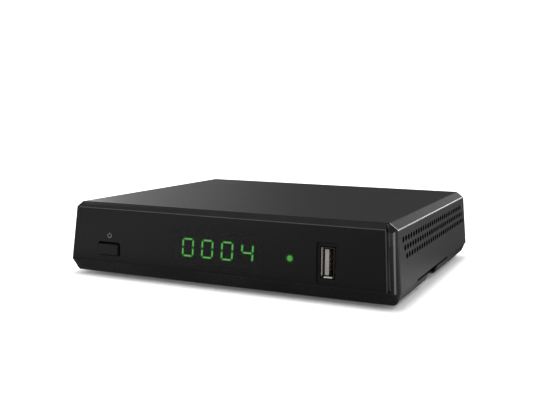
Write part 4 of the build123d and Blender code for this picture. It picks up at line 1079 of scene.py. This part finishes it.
def floor_finish():
    """Pale matt floor, seen white away from the set and dimmed near it: a painted shadow.

    Gloss shows it brightest before the set, and dimmer to the right and behind.
    """
    s = new_finish("studio_floor")
    path = s.node("LightPath").outputs
    seen = s.most(path["Is Camera Ray"], path["Is Transmission Ray"])
    # The floor's glow is dimmed near the set: a painted shadow.
    white = s.step(floor_shade(s), 0.06, 0.84, 0.0, SHADE_FADE)
    colour = s.mix(s.noise(s.place(), 40.0, 2.0), rgb(0.89), rgb(0.91))
    matt = s.node("BsdfPrincipled", {"Base Color": colour, "Roughness": 0.9,
                                     "Specular IOR Level": 0.0, "Emission Color": rgb(1.0),
                                     "Emission Strength": s.times(seen, white)})
    x, y, _ = s.split("Object")
    before = s.times(s.step(x, 0.9, 0.28, -0.16, 0.08), s.step(y, 1.0, 0.3, -0.13, -0.085))
    beside = s.times(s.step(x, 0.0, 1.0, 0.07, 0.10), s.step(y, 0.66, 0.0, -0.01, 0.10))
    beyond = s.times(s.step(x, 0.0, 1.0, 0.13, 0.16), s.step(y, 0.75, 0.0, 0.14, 0.30))
    mirrored = s.node("Emission", {"Color": rgb(1.0), "Strength": s.most(before, beside, beyond)})
    return s.show(s.node("MixShader", {0: path["Is Glossy Ray"], 1: matt.outputs[0],
                                       2: mirrored.outputs[0]}))


def floor(half=12.0):
    """The studio's floor, which is no part of the set."""
    mesh = bpy.data.meshes.new("floor")
    mesh.from_pydata([(-half, -half, 0), (half, -half, 0), (half, half, 0), (-half, half, 0)],
                     [], [(0, 1, 2, 3)])
    mesh.materials.append(floor_finish())
    in_scene("floor", mesh)


def sweep():
    """The white backdrop as the world. Gloss sees bright patches on a dark surround instead."""
    SCENE.world = bpy.data.worlds.new("studio")
    s = Shader(SCENE.world, "OutputWorld")
    path = s.node("LightPath").outputs
    x, y, z = s.split("Generated")
    left = s.times(s.step(x, 1.0, 0.08, -0.74, -0.34), s.step(z, 1.0, 0.35, 0.30, 0.60))
    behind = s.times(s.step(z, 0.0, 0.95, 0.10, 0.22), s.step(x, 0.0, 1.0, -0.16, 0.06))
    behind = s.times(behind, s.step(z, 1.0, 0.5, 0.24, 0.36))
    around = s.times(s.most(left, behind), s.step(z, 1.0, 0.45, 0.45, 0.8))
    ahead = s.times(s.step(y, 1.0, 0.0, -0.80, -0.55), s.step(z, 1.0, 0.0, 0.25, 0.55))
    right = s.times(s.step(x, 0.0, 1.15, 0.17, 0.27), s.step(z, 1.0, 0.0, 0.14, 0.30))
    overhead = s.times(s.step(z, 0.0, 1.0, 0.50, 0.75), s.step(x, 0.0, 0.18, -0.55, -0.30))
    level = s.most(around, ahead, right, overhead)
    lighting = s.node("Mix", {0: path["Is Glossy Ray"], 2: 0.92, 3: level},
                      data_type="FLOAT").outputs[0]
    strength = s.most(lighting, path["Is Camera Ray"], path["Is Transmission Ray"])
    s.show(s.node("Background", {"Color": rgb(1.0), "Strength": strength}))


def lamp(name, place, target, size, power):
    """A soft box that points at a target and isn't seen itself."""
    data = bpy.data.lights.new(name, "AREA")
    data.shape = "RECTANGLE"
    data.size, data.size_y = size
    data.energy = power
    obj = in_scene(name, data)
    obj.location = place
    obj.rotation_euler = (Vector(target) - Vector(place)).to_track_quat("-Z", "Y").to_euler()
    obj.visible_camera = False


floor()
sweep()
# name, place, target, size and power in watts
lamp("key", (-0.45, -0.6, 1.3), (0, 0, 0.02), (0.7, 0.7), 3.0)
lamp("strip", (0.50, -0.62, 0.17), (0.08, -0.06, 0.02), (0.22, 0.40), 0.6)
lamp("edge", (0.62, -0.30, 0.80), (0.06, -0.02, 0.03), (0.3, 0.3), 1.5)
lamp("front", (-0.35, -1.15, 0.30), (-0.02, -0.07, 0.03), (1.5, 0.16), 2.0)
lamp("back", (0.36, 1.42, 0.26), (0.08, 0.0, 0.03), (0.35, 0.12), 0.5)
lamp("rim", (-1.1, 0.75, 0.30), (-0.06, -0.04, 0.036), (0.6, 0.3), 2.5)

# ---------------------------------------------------------------- camera, fitted to the photograph
CAMERA_PLACE = (0.16449, -0.37237, 0.08298)
YAW, PITCH, ROLL = 0.43633, 0.126845, 0.0083674     # radians
PICTURE_W, FOCAL = 537, 777.10      # the picture's width and the focal length, in pixels
SENSOR = 36.0


def camera():
    """The camera of the photograph."""
    data = bpy.data.cameras.new("camera")
    data.sensor_width = SENSOR
    data.lens = FOCAL / PICTURE_W * SENSOR
    data.clip_start = 0.01
    ahead = Vector((-math.sin(YAW) * math.cos(PITCH), math.cos(YAW) * math.cos(PITCH),
                    -math.sin(PITCH)))
    level = Vector((math.cos(YAW), math.sin(YAW), 0))
    upright = level.cross(ahead)
    right = math.cos(ROLL) * level + math.sin(ROLL) * upright
    up = -math.sin(ROLL) * level + math.cos(ROLL) * upright
    SCENE.camera = in_scene("camera", data)
    SCENE.camera.matrix_world = Matrix.Translation(CAMERA_PLACE) @ Matrix(
        (right, up, -ahead)).transposed().to_4x4()


camera()
SCENE.view_settings.view_transform = "Standard"
